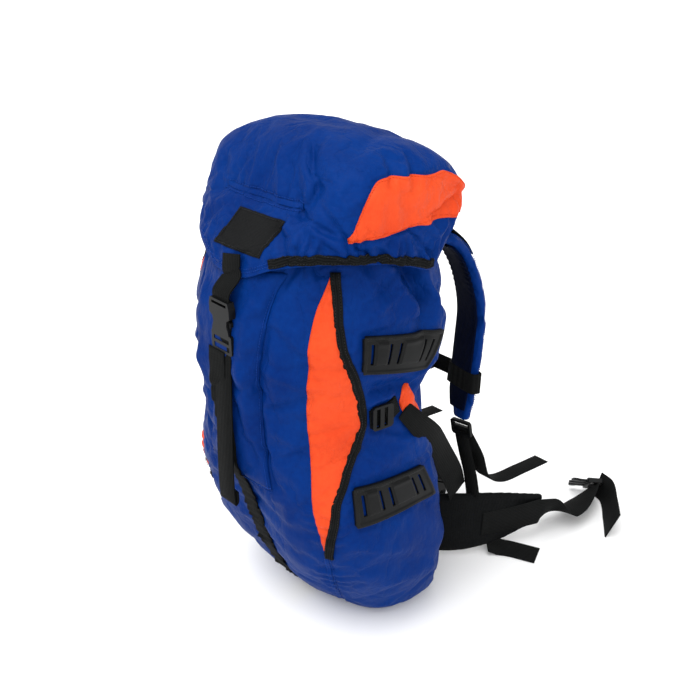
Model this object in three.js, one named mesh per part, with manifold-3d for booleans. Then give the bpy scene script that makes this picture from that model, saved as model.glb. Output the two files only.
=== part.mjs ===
import * as THREE from 'three';
import { mergeVertices } from 'three/addons/utils/BufferGeometryUtils.js';
import Module from 'manifold-3d';

const wasm = await Module();
wasm.setup();

// Overall sizes, in millimetres: +X is the wearer's right, -Y is the front of the bag, +Z is up
const PACK_WIDTH = 322;
const PACK_DEPTH = 250;
const BODY_HEIGHT = 560;
const LID_HEIGHT = 160;
const LID_DROP = 60;
const LID_BASE = BODY_HEIGHT - LID_DROP;

// Cloth, padding and clearances
const CLOTH = 2;
const LID_CLOTH = 2;
const SKIN = 1.2;
const SKIN_GAP = 0.8;
const SEAT_GAP = 0.3;
const PIPING_THICK = 1.8;
const BINDING_WIDTH = 12;
const HEM_WIDTH = 11;

// Webbing widths and thickness
const WEB_THICK = 1.6;
const FRONT_WEB = 32;
const SIDE_WEB = 25;
const SHOULDER_WEB = 25;
const BELT_WEB = 48;
const TAIL_WEB = 38;

// Moulded lash patches
const PATCH_THICK = 3.2;
const PATCH_RIM = 1.6;
const PATCH_RIM_WIDTH = 5;
const SLOT_WIDTH = 4.5;

// Front pocket panel and label
const POCKET_THICK = 2.4;
const LABEL_WIDTH = 84;
const LABEL_HEIGHT = 50;
const LABEL_THICK = 1.2;

// Side-release buckle of the lid strap
const BUCKLE_WIDTH = 39;
const BUCKLE_THICK = 9;
const SOCKET_LENGTH = 40;
const PLUG_LENGTH = 25;
const BUCKLE_DROP = 19;

// Harness and hip belt
const STRAP_WIDTH = 60;
const STRAP_PAD = 13;
const LINING_THICK = 2;
const BACK_PAD = 12;
const LUMBAR_PAD = 22;
const WING_PAD = 14;
const WING_HEIGHT = 104;

const root = new THREE.Group();

const finish = {
  blue: { color: 0x0c3c94, roughness: 0.55, metalness: 0 },
  orange: { color: 0xf15c2e, roughness: 0.6, metalness: 0 },
  webbing: { color: 0x242626, roughness: 0.8, metalness: 0 },
  plastic: { color: 0x1d1e1f, roughness: 0.45, metalness: 0 },
  pad: { color: 0x17191a, roughness: 0.85, metalness: 0 },
  lining: { color: 0x08122d, roughness: 0.85, metalness: 0 },
};

const rad = (degrees) => (degrees * Math.PI) / 180;
const mix = (a, b, t) => a + (b - a) * t;
const vec = (x, y, z) => new THREE.Vector3(x, y, z);

function addMesh(name, geometry, look) {
  const mesh = new THREE.Mesh(geometry, new THREE.MeshStandardMaterial(finish[look]));
  mesh.name = name;
  root.add(mesh);
  return mesh;
}

// Both hands of a piece: side is +1 for the +X hand and -1 for the -X hand
function bothSides(make) {
  make(1, 'right');
  make(-1, 'left');
}

// A row of a table at a height between its rows, by a smooth curve through the rows
function smoothRow(table, key, at) {
  const last = table.length - 1;
  const place = Math.min(Math.max(at, table[0][key]), table[last][key]);
  let i = 0;
  while (i < last - 1 && place > table[i + 1][key]) i += 1;
  const step = table[i + 1][key] - table[i][key];
  const t = (place - table[i][key]) / step;
  const slope = (row, name) => {
    const a = table[Math.max(row - 1, 0)];
    const b = table[Math.min(row + 1, last)];
    return ((b[name] - a[name]) / (b[key] - a[key])) * step;
  };
  const out = {};
  for (const name of Object.keys(table[i])) {
    const p = table[i][name];
    const q = table[i + 1][name];
    const m = slope(i, name);
    const n = slope(i + 1, name);
    const t2 = t * t;
    const t3 = t2 * t;
    const rise = 3 * t2 - 2 * t3;
    out[name] = p * (1 - rise) + q * rise + m * (t3 - 2 * t2 + t) + n * (t3 - t2);
  }
  return out;
}

// A row of a table between its rows, by straight lines
function straightRow(table, key, at) {
  const last = table.length - 1;
  const place = Math.min(Math.max(at, table[0][key]), table[last][key]);
  let i = 0;
  while (i < last - 1 && place > table[i + 1][key]) i += 1;
  const t = (place - table[i][key]) / (table[i + 1][key] - table[i][key]);
  const out = {};
  for (const name of Object.keys(table[i])) out[name] = mix(table[i][name], table[i + 1][name], t);
  return out;
}

function tableOf(columns, rows) {
  return rows.map((row) => Object.fromEntries(columns.map((name, i) => [name, row[i]])));
}

// Sections of the bag: height as a share of the body height, half width as a share of half the
// pack width, front, middle and back as shares of the pack depth, and how square each half is
const BODY = tableOf(['height', 'half', 'front', 'middle', 'back', 'frontSquare', 'backSquare'], [
  [0.0, 0.683, -0.232, 0.016, 0.296, 2.6, 3.4],
  [0.027, 0.795, -0.316, 0.008, 0.304, 2.6, 3.4],
  [0.089, 0.888, -0.448, -0.008, 0.264, 2.6, 3.0],
  [0.17, 0.963, -0.56, -0.024, 0.232, 3.4, 2.9],
  [0.25, 0.994, -0.624, -0.04, 0.224, 4.2, 2.9],
  [0.357, 0.988, -0.692, -0.072, 0.196, 4.2, 2.9],
  [0.446, 0.95, -0.752, -0.108, 0.172, 3.0, 2.8],
  [0.536, 0.9, -0.78, -0.152, 0.14, 2.4, 2.6],
  [0.625, 0.882, -0.788, -0.136, 0.132, 2.4, 2.6],
  [0.714, 0.95, -0.792, -0.08, 0.196, 2.4, 2.9],
  [0.786, 0.95, -0.784, -0.06, 0.24, 2.5, 2.9],
  [0.857, 0.894, -0.744, -0.06, 0.232, 2.5, 2.8],
  [0.929, 0.814, -0.68, -0.06, 0.2, 2.6, 2.6],
  [1.0, 0.7, -0.584, -0.06, 0.16, 2.6, 2.6],
]);

// Dents of the bag: angle from the front, height share, reach of each and depth in millimetres
const DENTS = tableOf(['angle', 'height', 'angleReach', 'heightReach', 'depth'], [
  [84, 0.885, 14, 0.035, 9],
  [-84, 0.885, 14, 0.035, 9],
  [78, 0.665, 16, 0.022, 4],
  [-78, 0.665, 16, 0.022, 4],
  [74, 0.535, 18, 0.022, 4],
  [-74, 0.535, 18, 0.022, 4],
]);

function dentAt(angle, share) {
  let depth = 0;
  for (const dent of DENTS) {
    const a = (angle - dent.angle) / dent.angleReach;
    const h = (share - dent.height) / dent.heightReach;
    depth += dent.depth * Math.exp(-a * a - h * h);
  }
  return depth;
}

// Distance of a section's edge from its middle, in the direction of an angle from the front
function sectionRadius(half, ahead, behind, frontSquare, backSquare, angle) {
  const s = Math.abs(Math.sin(rad(angle)));
  const c = Math.cos(rad(angle));
  const square = c > 0 ? frontSquare : backSquare;
  const depth = c > 0 ? ahead : behind;
  return ((s / half) ** square + (Math.abs(c) / depth) ** square) ** (-1 / square);
}

function bodySection(z, angle) {
  const row = smoothRow(BODY, 'height', z / BODY_HEIGHT);
  const half = (row.half * PACK_WIDTH) / 2;
  const ahead = (row.middle - row.front) * PACK_DEPTH;
  const behind = (row.back - row.middle) * PACK_DEPTH;
  const wrapped = ((((angle + 180) % 360) + 360) % 360) - 180;
  const radius = sectionRadius(half, ahead, behind, row.frontSquare, row.backSquare, angle);
  return { radius: radius - dentAt(wrapped, z / BODY_HEIGHT), middle: row.middle * PACK_DEPTH };
}

// Angles of the edges between facets: closer together at the corners, the same on both hands
const mirrored = (half) => [...half, 180, ...half.slice(1).reverse().map((angle) => 360 - angle)];
const BODY_ANGLES = mirrored([0, 15, 27, 36, 43, 51, 63, 78, 96, 114, 132, 154]);
const LID_ANGLES = mirrored([0, 17, 33, 45, 56, 68, 81, 94, 105, 116, 128, 152]);

// Heights of the rings that the bag is lofted through
const BODY_LEVELS = [0, 0.025, 0.08, 0.16, 0.25, 0.35, 0.44, 0.53, 0.6, 0.68, 0.76, 0.85, 0.93, 1]
  .map((share) => share * BODY_HEIGHT);

function bodyPoint(angle, z) {
  const { radius, middle } = bodySection(z, angle);
  return vec(radius * Math.sin(rad(angle)), middle - radius * Math.cos(rad(angle)), z);
}

// A soft surface cut into flat facets, which the pieces laid on it follow exactly
function facetedSurface(name, angles, levels, point) {
  const grid = levels.map((level) => angles.map((angle) => point(angle, level)));
  const sides = angles.length;
  const last = levels.length - 1;
  const place = (angle, level) => {
    const turn = ((angle % 360) + 360) % 360;
    let i = sides - 1;
    while (i > 0 && angles[i] > turn) i -= 1;
    const next = i < sides - 1 ? angles[i + 1] : 360;
    const u = (turn - angles[i]) / (next - angles[i]);
    let r = 0;
    while (r < last - 1 && level > levels[r + 1]) r += 1;
    const v = Math.min(Math.max((level - levels[r]) / (levels[r + 1] - levels[r]), 0), 1);
    const a = grid[r][i];
    const b = grid[r][(i + 1) % sides];
    const c = grid[r + 1][(i + 1) % sides];
    const d = grid[r + 1][i];
    const p = a.clone();
    const [near, second] = u >= v ? [u, v] : [v, u];
    const turnAt = u >= v ? b : d;
    return p.multiplyScalar(1 - near).addScaledVector(turnAt, near - second).addScaledVector(c, second);
  };
  const normal = (angle, level) => {
    const da = 1.5;
    const dl = (levels[last] - levels[0]) / 300;
    const across = point(angle + da, level).sub(point(angle - da, level));
    const up = point(angle, level + dl).sub(point(angle, level - dl));
    return across.cross(up).normalize();
  };
  const lift = (angle, level, height) => place(angle, level).addScaledVector(normal(angle, level), height);
  return { name, angles, grid, levels, place, normal, lift };
}

const bag = facetedSurface('bag', BODY_ANGLES, BODY_LEVELS, bodyPoint);

// Sections of the lid: height as a share of the lid height above its front edge, then as for the bag
const LID = tableOf(['height', 'half', 'front', 'middle', 'back', 'frontSquare', 'backSquare'], [
  [0.0, 0.92, -0.752, -0.14, 0.19, 2.5, 3.2],
  [0.19, 0.92, -0.712, -0.14, 0.25, 2.7, 3.6],
  [0.34, 0.91, -0.636, -0.14, 0.28, 3.2, 4.4],
  [0.53, 0.885, -0.54, -0.14, 0.295, 4.2, 5.0],
  [0.66, 0.87, -0.49, -0.14, 0.27, 4.4, 4.6],
  [0.76, 0.835, -0.455, -0.15, 0.195, 4.0, 3.4],
  [0.86, 0.67, -0.41, -0.17, 0.07, 3.2, 2.6],
  [0.94, 0.42, -0.35, -0.2, -0.05, 2.5, 2.2],
  [0.985, 0.06, -0.25, -0.22, -0.2, 2.0, 2.0],
]);
const LID_LEVELS = [0, 0.1, 0.23, 0.4, 0.58, 0.74, 0.88, 1];

// Lower edge of the lid: angle from the front and height as a share of the lid height
const HEM = tableOf(['angle', 'height'], [
  [0, 0.02], [12, 0.045], [24, 0.13], [36, 0.185], [48, 0.21], [60, 0.2],
  [72, 0.175], [86, 0.11], [102, 0.04], [112, 0.2], [122, 0.3], [180, 0.32],
]);

function hemHeight(angle) {
  const wrapped = Math.abs(((((angle + 180) % 360) + 360) % 360) - 180);
  return LID_BASE + smoothRow(HEM, 'angle', wrapped).height * LID_HEIGHT;
}

// Gathers that pucker the skirt of the lid above its hem, and the crease of the lid's front seam
const GATHER = { waves: 18, depth: 1.5, reach: 0.16, from: 46, to: 114, first: 54 };
const CREASE = { height: 0.53, reach: 0.035, depth: 4, halfAngle: 38 };

function lidRelief(angle, z) {
  const wrapped = Math.abs(((((angle + 180) % 360) + 360) % 360) - 180);
  const above = (z - hemHeight(angle)) / LID_HEIGHT;
  const inside = THREE.MathUtils.smoothstep(wrapped, GATHER.from - 8, GATHER.from + 8)
    * (1 - THREE.MathUtils.smoothstep(wrapped, GATHER.to - 8, GATHER.to + 8));
  const fade = Math.max(0, 1 - Math.abs(above - GATHER.reach / 2) / (GATHER.reach / 2));
  const pucker = GATHER.depth * inside * fade * Math.cos(rad((wrapped - GATHER.first) * GATHER.waves));
  const share = (z - LID_BASE) / LID_HEIGHT;
  const across = Math.max(0, 1 - (wrapped / CREASE.halfAngle) ** 2);
  const crease = CREASE.depth * across * Math.exp(-(((share - CREASE.height) / CREASE.reach) ** 2));
  return pucker - crease;
}

// Height of a lid ring at an angle: the rings spread evenly from the wavy hem to the crown
function lidHeight(angle, level) {
  const hem = hemHeight(angle);
  return hem + level * (LID_BASE + LID_HEIGHT - hem);
}

function lidPoint(angle, level, inset = 0) {
  const z = lidHeight(angle, level);
  const row = smoothRow(LID, 'height', (z - LID_BASE) / LID_HEIGHT);
  const half = (row.half * PACK_WIDTH) / 2;
  const ahead = (row.middle - row.front) * PACK_DEPTH;
  const behind = (row.back - row.middle) * PACK_DEPTH;
  const radius = sectionRadius(half, ahead, behind, row.frontSquare, row.backSquare, angle);
  const away = Math.max(radius + lidRelief(angle, z) - inset, 1);
  const middle = row.middle * PACK_DEPTH;
  return vec(away * Math.sin(rad(angle)), middle - away * Math.cos(rad(angle)), z);
}

const lid = facetedSurface('lid', LID_ANGLES, LID_LEVELS, (angle, level) => lidPoint(angle, level));

// Closed solid from rings of points, each ring counter-clockwise seen from the last ring's end
function loft(rings) {
  const count = rings[0].length;
  const points = [];
  const faces = [];
  for (const p of rings.flat()) points.push(p.x, p.y, p.z);
  for (let r = 0; r < rings.length - 1; r += 1) {
    for (let i = 0; i < count; i += 1) {
      const a = r * count + i;
      const b = r * count + ((i + 1) % count);
      faces.push(a, b, b + count, a, b + count, a + count);
    }
  }
  const cap = (ring, base, flip) => {
    const middle = ring.reduce((sum, p) => sum.add(p), vec(0, 0, 0)).divideScalar(count);
    const centre = points.length / 3;
    points.push(middle.x, middle.y, middle.z);
    for (let i = 0; i < count; i += 1) {
      const a = base + i;
      const b = base + ((i + 1) % count);
      if (flip) faces.push(centre, b, a);
      else faces.push(centre, a, b);
    }
  };
  cap(rings[0], 0, true);
  cap(rings[rings.length - 1], (rings.length - 1) * count, false);
  return meshGeometry(points, faces);
}

// Triangles turned so that the closed solid's faces look outwards
function facedOut(points, faces) {
  const corner = (i) => vec(points[3 * i], points[3 * i + 1], points[3 * i + 2]);
  let volume = 0;
  for (let f = 0; f < faces.length; f += 3) {
    const [a, b, c] = [corner(faces[f]), corner(faces[f + 1]), corner(faces[f + 2])];
    volume += a.dot(b.cross(c));
  }
  if (volume >= 0) return faces;
  const turned = [];
  for (let f = 0; f < faces.length; f += 3) turned.push(faces[f], faces[f + 2], faces[f + 1]);
  return turned;
}

function meshGeometry(points, faces) {
  const geometry = new THREE.BufferGeometry();
  geometry.setAttribute('position', new THREE.Float32BufferAttribute(points, 3));
  geometry.setIndex(facedOut(points, faces));
  geometry.computeVertexNormals();
  return geometry;
}

// Closed sheet between an inner and an outer grid of the same rows and columns
function sheet(inner, outer) {
  const rows = inner.length;
  const columns = inner[0].length;
  const points = [];
  const faces = [];
  for (const p of [...inner.flat(), ...outer.flat()]) points.push(p.x, p.y, p.z);
  const id = (layer, r, c) => (layer * rows + r) * columns + c;
  for (let r = 0; r < rows - 1; r += 1) {
    for (let c = 0; c < columns - 1; c += 1) {
      faces.push(id(1, r, c), id(1, r, c + 1), id(1, r + 1, c + 1));
      faces.push(id(1, r, c), id(1, r + 1, c + 1), id(1, r + 1, c));
      faces.push(id(0, r, c), id(0, r + 1, c + 1), id(0, r, c + 1));
      faces.push(id(0, r, c), id(0, r + 1, c), id(0, r + 1, c + 1));
    }
  }
  const edge = [];
  for (let c = 0; c < columns; c += 1) edge.push([0, c]);
  for (let r = 1; r < rows; r += 1) edge.push([r, columns - 1]);
  for (let c = columns - 2; c >= 0; c -= 1) edge.push([rows - 1, c]);
  for (let r = rows - 2; r > 0; r -= 1) edge.push([r, 0]);
  for (let i = 0; i < edge.length; i += 1) {
    const [r1, c1] = edge[i];
    const [r2, c2] = edge[(i + 1) % edge.length];
    faces.push(id(0, r1, c1), id(0, r2, c2), id(1, r2, c2));
    faces.push(id(0, r1, c1), id(1, r2, c2), id(1, r1, c1));
  }
  return meshGeometry(points, faces);
}

// A geometry with its shared vertices merged, as a solid needs
function welded(geometry) {
  geometry.deleteAttribute('normal');
  geometry.deleteAttribute('uv');
  return mergeVertices(geometry, 1e-4);
}

// Solid of a geometry for cutting and joining, and back again
function solidOf(geometry) {
  return new wasm.Manifold(new wasm.Mesh({
    numProp: 3,
    vertProperties: new Float32Array(geometry.attributes.position.array),
    triVerts: new Uint32Array(geometry.index.array),
  }));
}

function geometryOf(solid) {
  const mesh = solid.getMesh();
  return meshGeometry(Array.from(mesh.vertProperties), Array.from(mesh.triVerts));
}

// The bag: a cloth wall all round and below, open at the top under the lid
function bagShell() {
  const within = (level, r) => level.map((p) => {
    const { middle } = bodySection(BODY_LEVELS[r], 0);
    const reach = Math.hypot(p.x, p.y - middle);
    const scale = (reach - CLOTH) / reach;
    return vec(p.x * scale, middle + (p.y - middle) * scale, Math.max(p.z, CLOTH));
  });
  const inner = bag.grid.map(within).slice(1).reverse();
  return loft([...bag.grid, ...inner]);
}

// Height stations of a piece laid on the bag: its ends and the bag's own rings between them
function stationsBetween(low, high) {
  const margin = 4;
  const between = BODY_LEVELS.filter((z) => z > low + margin && z < high - margin);
  return [low, ...between, high];
}

// Cutting outline of a piece laid on the bag between two edges given as angles at each height
function bagOutline(low, high, edges, columns, hand = 1, reach = CUT_DEPTH) {
  const zs = stationsBetween(low, high);
  const grid = (height) => zs.map((z) => {
    const [from, to] = edges(z);
    return Array.from({ length: columns + 1 }, (_, c) => {
      const t = c / columns;
      const angle = hand > 0 ? mix(from, to, t) : -mix(to, from, t);
      return bag.lift(angle, z, height);
    });
  });
  return sheet(grid(-reach), grid(reach));
}

// Flat tape along a line of angles and heights on a surface
function surfaceTape(surface, route, width, gap, thick) {
  const centres = route.map(([angle, z]) => surface.place(angle, z));
  const rings = route.map(([angle, z], i) => {
    const normal = surface.normal(angle, z);
    const before = centres[Math.max(i - 1, 0)];
    const after = centres[Math.min(i + 1, centres.length - 1)];
    const along = after.clone().sub(before).normalize();
    const across = normal.clone().cross(along).normalize();
    const low = Array.isArray(gap) ? gap[i] : gap;
    const corner = (side, height) => centres[i].clone()
      .addScaledVector(across, (side * width) / 2)
      .addScaledVector(normal, height);
    return [corner(1, low), corner(-1, low), corner(-1, low + thick), corner(1, low + thick)];
  });
  return loft(rings);
}

// Outline of a webbing and of a padded strap, in shares of half the width and half the thickness
const WEB_PROFILE = [[-1, -1], [1, -1], [1, 1], [-1, 1]];
const PAD_PROFILE = [
  [-1, -0.4], [-0.84, -1], [0.84, -1], [1, -0.4], [1, 0.4], [0.84, 1], [-0.84, 1], [-1, 0.4],
];

// A band swept along a smooth line through points: hint is the way that its width lies,
// rows of [place along, twist in degrees, share of the width] change it along the line
function band({ points, width, thick, steps, hint = vec(1, 0, 0), changes = [[0, 0, 1], [1, 0, 1]],
  profile = WEB_PROFILE, shift = 0, from = 0, to = 1 }) {
  const curve = new THREE.CatmullRomCurve3(points, false, 'centripetal');
  const table = tableOf(['at', 'twist', 'share'], changes);
  const rings = Array.from({ length: steps + 1 }, (_, k) => {
    const at = mix(from, to, k / steps);
    const { twist, share } = straightRow(table, 'at', at);
    const along = curve.getTangentAt(at);
    const level = hint.clone().addScaledVector(along, -hint.dot(along)).normalize();
    const across = level.applyAxisAngle(along, rad(twist));
    const out = across.clone().cross(along);
    const centre = curve.getPointAt(at).addScaledVector(out, shift);
    return profile.map(([u, v]) => centre.clone()
      .addScaledVector(across, (u * width * share) / 2)
      .addScaledVector(out, (v * thick) / 2));
  });
  return loft(rings);
}

// Solid of an outline cut to a thickness, its middle on the plane of the outline, with holes
function plate(outline, thick, holes = []) {
  const shape = new THREE.Shape(outline.map(([x, y]) => new THREE.Vector2(x, y)));
  const geometry = new THREE.ExtrudeGeometry(shape, { depth: thick, bevelEnabled: false });
  geometry.translate(0, 0, -thick / 2);
  const solid = solidOf(welded(geometry));
  return holes.reduce((rest, hole) => rest.subtract(plate(hole, thick * 2)), solid);
}

const rectangle = (x0, y0, x1, y1) => [[x0, y0], [x1, y0], [x1, y1], [x0, y1]];

// Rectangle with cut corners
function cutRectangle(x0, y0, x1, y1, cut) {
  return [[x0 + cut, y0], [x1 - cut, y0], [x1, y0 + cut], [x1, y1 - cut],
    [x1 - cut, y1], [x0 + cut, y1], [x0, y1 - cut], [x0, y0 + cut]];
}

// Moves a flat piece so that its x, y and z axes lie along the given ones at a place
function placed(geometry, place, xAxis, yAxis) {
  const x = xAxis.clone().normalize();
  const y = yAxis.clone().addScaledVector(x, -yAxis.dot(x)).normalize();
  const matrix = new THREE.Matrix4().makeBasis(x, y, x.clone().cross(y)).setPosition(place);
  return geometry.applyMatrix4(matrix);
}

// A surface's full solid, larger by a height, from which what is laid on it takes its two faces
const cores = new Map();

function surfaceCore(surface, height) {
  const key = `${surface.name} ${height}`;
  if (!cores.has(key)) {
    const rings = surface.grid.map((row, r) => row.map((p, i) => {
      const normal = surface.normal(surface.angles[i], surface.levels[r]);
      return p.clone().addScaledVector(normal, height);
    }));
    cores.set(key, solidOf(loft(rings)));
  }
  return cores.get(key);
}

// How far a cutting outline reaches below and above a surface
const CUT_DEPTH = 9;

// The part of a layer on a surface, between two heights, that lies within a cutting outline
function layerWithin(surface, outline, low, high) {
  return outline.intersect(surfaceCore(surface, high)).subtract(surfaceCore(surface, low));
}

function addLayer(name, cutter, look, surface, low, thick) {
  const layer = layerWithin(surface, solidOf(cutter), low, low + thick);
  return addMesh(name, geometryOf(layer), look);
}

// A free piece that meets a surface, trimmed so that it clears the surface by a height
function addTrimmed(name, geometry, look, surface, clear = SEAT_GAP) {
  return addMesh(name, geometryOf(solidOf(geometry).subtract(surfaceCore(surface, clear))), look);
}

// Front crescents: height share, angle of the front seam and angle of the bound edge
const CRESCENT = tableOf(['height', 'seam', 'edge'], [
  [0.29, 41.6, 43.0], [0.33, 41.4, 44.4], [0.38, 40.5, 46.8], [0.427, 40.0, 48.8], [0.47, 40.8, 53.1],
  [0.505, 41.6, 56.7], [0.532, 41.9, 60.1], [0.56, 41.7, 62.5], [0.596, 40.6, 64.1], [0.643, 39.4, 61.5],
  [0.69, 38.2, 56.7], [0.725, 37.8, 53.4], [0.748, 37.6, 51.1], [0.78, 37.3, 48.8], [0.827, 38.5, 47.3],
  [0.866, 40.4, 47.0], [0.9, 43.2, 46.4], [0.925, 45.0, 46.2],
]);

function crescentEdges(z) {
  const row = smoothRow(CRESCENT, 'height', z / BODY_HEIGHT);
  return [row.seam, row.edge];
}

const CRESCENT_LOW = CRESCENT[0].height * BODY_HEIGHT;
const CRESCENT_HIGH = CRESCENT[CRESCENT.length - 1].height * BODY_HEIGHT;
const SKIN_TOP = SKIN_GAP + SKIN;

function frontCrescent(side, hand) {
  const tipInset = 4;
  const outline = bagOutline(CRESCENT_LOW + tipInset, CRESCENT_HIGH - tipInset, crescentEdges, 2, side);
  addLayer(`crescent_front_${hand}`, outline, 'orange', bag, SKIN_GAP, SKIN);
}

// Binding tape folded over the bound edge of each front crescent
function frontBinding(side, hand) {
  const route = stationsBetween(CRESCENT_LOW - BINDING_WIDTH / 2, CRESCENT_HIGH).map((z) => {
    const [, edge] = crescentEdges(z);
    return [side * edge, z];
  });
  const outline = surfaceTape(bag, route, BINDING_WIDTH, -CUT_DEPTH, CUT_DEPTH * 2);
  addLayer(`binding_front_${hand}`, outline, 'webbing', bag, SKIN_TOP + SEAT_GAP, PIPING_THICK);
}

// Rear leaves beside the back edge: height share and the angles of both edges
const LEAF = tableOf(['height', 'front', 'rear'], [
  [0.523, 101.4, 102.6], [0.55, 95.6, 101.2], [0.575, 89.6, 98.8], [0.604, 85.5, 95.6],
  [0.63, 83.6, 91.6], [0.648, 84.4, 89.0], [0.657, 85.6, 87.4],
]);

function rearLeaf(side, hand) {
  const edges = (z) => {
    const row = smoothRow(LEAF, 'height', z / BODY_HEIGHT);
    return [row.front, row.rear];
  };
  const low = LEAF[0].height * BODY_HEIGHT;
  const high = LEAF[LEAF.length - 1].height * BODY_HEIGHT;
  const outline = bagOutline(low, high, edges, 2, side);
  addLayer(`crescent_rear_${hand}`, outline, 'orange', bag, SKIN_GAP, SKIN);
}

// Raised front pocket: height share and half angle of its edge
const POCKET = tableOf(['height', 'edge'], [
  [0.43, 21.4], [0.49, 20.8], [0.536, 20.2], [0.636, 19.4],
  [0.68, 17.8], [0.763, 19.2], [0.834, 21.1], [0.886, 23.6], [0.92, 27.0],
]);
const POCKET_LOW = POCKET[0].height * BODY_HEIGHT;
const POCKET_HIGH = POCKET[POCKET.length - 1].height * BODY_HEIGHT;
const POCKET_TOP = SKIN_GAP + POCKET_THICK;

function frontPocket() {
  const edges = (z) => {
    const { edge } = smoothRow(POCKET, 'height', z / BODY_HEIGHT);
    return [-edge, edge];
  };
  const outline = bagOutline(POCKET_LOW, POCKET_HIGH, edges, 4);
  addLayer('front_pocket', outline, 'blue', bag, SKIN_GAP, POCKET_THICK);
}

// Moulded lash patches: the front corners, the rear corners and the slots across the patch
const PATCHES = {
  upper: {
    frontLow: 57.0, frontHigh: 56.0, rearLow: 92.5, rearHigh: 99.5,
    lowFront: 0.721, lowRear: 0.686, highFront: 0.803, highRear: 0.766,
  },
  lower: {
    frontLow: 54.0, frontHigh: 55.5, rearLow: 97.5, rearHigh: 93.5,
    lowFront: 0.366, lowRear: 0.361, highFront: 0.458, highRear: 0.45,
  },
};
const SLOT_SHARES = [0.1, 0.3, 0.42, 0.76, 0.87];
const PATCH_BARS = [[0.13, 0.27], [0.45, 0.73]];
const SLOT_LOW = 0.26;
const SLOT_HIGH = 0.78;

// Cutting outline through a patch between two shares of its length and two of its height
function patchCutter(patch, from, to, low, high, side, columns) {
  const grid = (lift) => [low, high].map((v) => (
    Array.from({ length: columns + 1 }, (_, c) => {
      const u = mix(from, to, c / columns);
      const share = mix(mix(patch.lowFront, patch.lowRear, u), mix(patch.highFront, patch.highRear, u), v);
      const angle = mix(mix(patch.frontLow, patch.frontHigh, v), mix(patch.rearLow, patch.rearHigh, v), u);
      return bag.lift(side * angle, share * BODY_HEIGHT, lift);
    })));
  return solidOf(sheet(grid(-CUT_DEPTH), grid(CUT_DEPTH)));
}

function lashPatch(side, hand, level) {
  const patch = PATCHES[level];
  const length = 0.125 * PACK_WIDTH + PACK_DEPTH * 0.36;
  const height = 0.09 * BODY_HEIGHT;
  const [u, v] = [PATCH_RIM_WIDTH / length, PATCH_RIM_WIDTH / height];
  const top = SKIN_GAP + PATCH_THICK;
  let outline = patchCutter(patch, 0, 1, 0, 1, side, 3);
  const half = SLOT_WIDTH / length / 2;
  for (const share of SLOT_SHARES) {
    outline = outline.subtract(patchCutter(patch, share - half, share + half, SLOT_LOW, SLOT_HIGH, side, 1));
  }
  const inside = patchCutter(patch, u, 1 - u, v, 1 - v, side, 3);
  const bars = PATCH_BARS.reduce((rest, [from, to]) => (
    rest.subtract(patchCutter(patch, from, to, SLOT_LOW, SLOT_HIGH + 0.08, side, 1))), inside);
  const floor = layerWithin(bag, bars, top, top + PATCH_RIM * 2);
  const whole = layerWithin(bag, outline, SKIN_GAP, top + PATCH_RIM);
  addMesh(`lash_patch_${level}_${hand}`, geometryOf(whole.subtract(floor)), 'plastic');
}

// The lid: a cloth cap, hollow below, with a wavy hem
function lidCap() {
  const inner = LID_LEVELS.map((level) => LID_ANGLES.map((angle) => {
    const p = lidPoint(angle, level, LID_CLOTH);
    p.z = Math.min(p.z, LID_BASE + LID_HEIGHT - LID_CLOTH);
    return p;
  }));
  const crownDrop = inner.map((ring, r) => {
    const sink = LID_CLOTH * THREE.MathUtils.smoothstep(LID_LEVELS[r], 0.6, 0.9);
    return ring.map((p) => vec(p.x, p.y, p.z - (r > 0 ? sink : 0)));
  });
  return loft([...crownDrop.slice(0, -1).reverse(), ...lid.grid]);
}

// End panels of the lid: angle and the levels of the lower and upper edges
const END_PANEL = tableOf(['angle', 'low', 'high'], [
  [57, 0.175, 0.2], [60, 0.195, 0.335], [63, 0.21, 0.477], [69, 0.225, 0.663], [73, 0.235, 0.696],
  [80, 0.28, 0.71], [93, 0.343, 0.71], [104, 0.365, 0.695], [111, 0.24, 0.65], [115, 0.15, 0.595],
  [120, 0.105, 0.465], [126, 0.1, 0.36],
]);

function lidEndPanel(side, hand) {
  const first = END_PANEL[0].angle;
  const last = END_PANEL[END_PANEL.length - 1].angle;
  const angles = [first, ...LID_ANGLES.filter((angle) => angle > first && angle < last), last];
  const grid = (height) => [0, 1].map((v) => angles.map((angle) => {
    const { low, high } = straightRow(END_PANEL, 'angle', angle);
    return lid.lift(side * angle, mix(low, high, v), height);
  }));
  addLayer(`lid_end_panel_${hand}`, sheet(grid(-CUT_DEPTH), grid(CUT_DEPTH)), 'orange', lid, SKIN_GAP, SKIN);
}

// Tape that binds the lid's hem from one front corner round the side to the back
const HEM_FROM = { right: 24, left: 58 };
const HEM_TO = 101;

function lidHem(side, hand) {
  const from = HEM_FROM[hand];
  const between = LID_ANGLES.filter((angle) => angle > from + 2 && angle < HEM_TO - 2);
  const angles = [from, ...between, HEM_TO];
  const route = angles.map((angle) => [side * angle, 0.05]);
  const outline = surfaceTape(lid, route, HEM_WIDTH, -CUT_DEPTH, CUT_DEPTH * 2);
  addLayer(`lid_hem_binding_${hand}`, outline, 'webbing', lid, SKIN_GAP, PIPING_THICK);
}

// Blank woven label on the front of the lid, sewn on askew
const LABEL_LEVEL = 0.176;
const LABEL_ASIDE = 6;
const LABEL_LEAN = 12;

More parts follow.
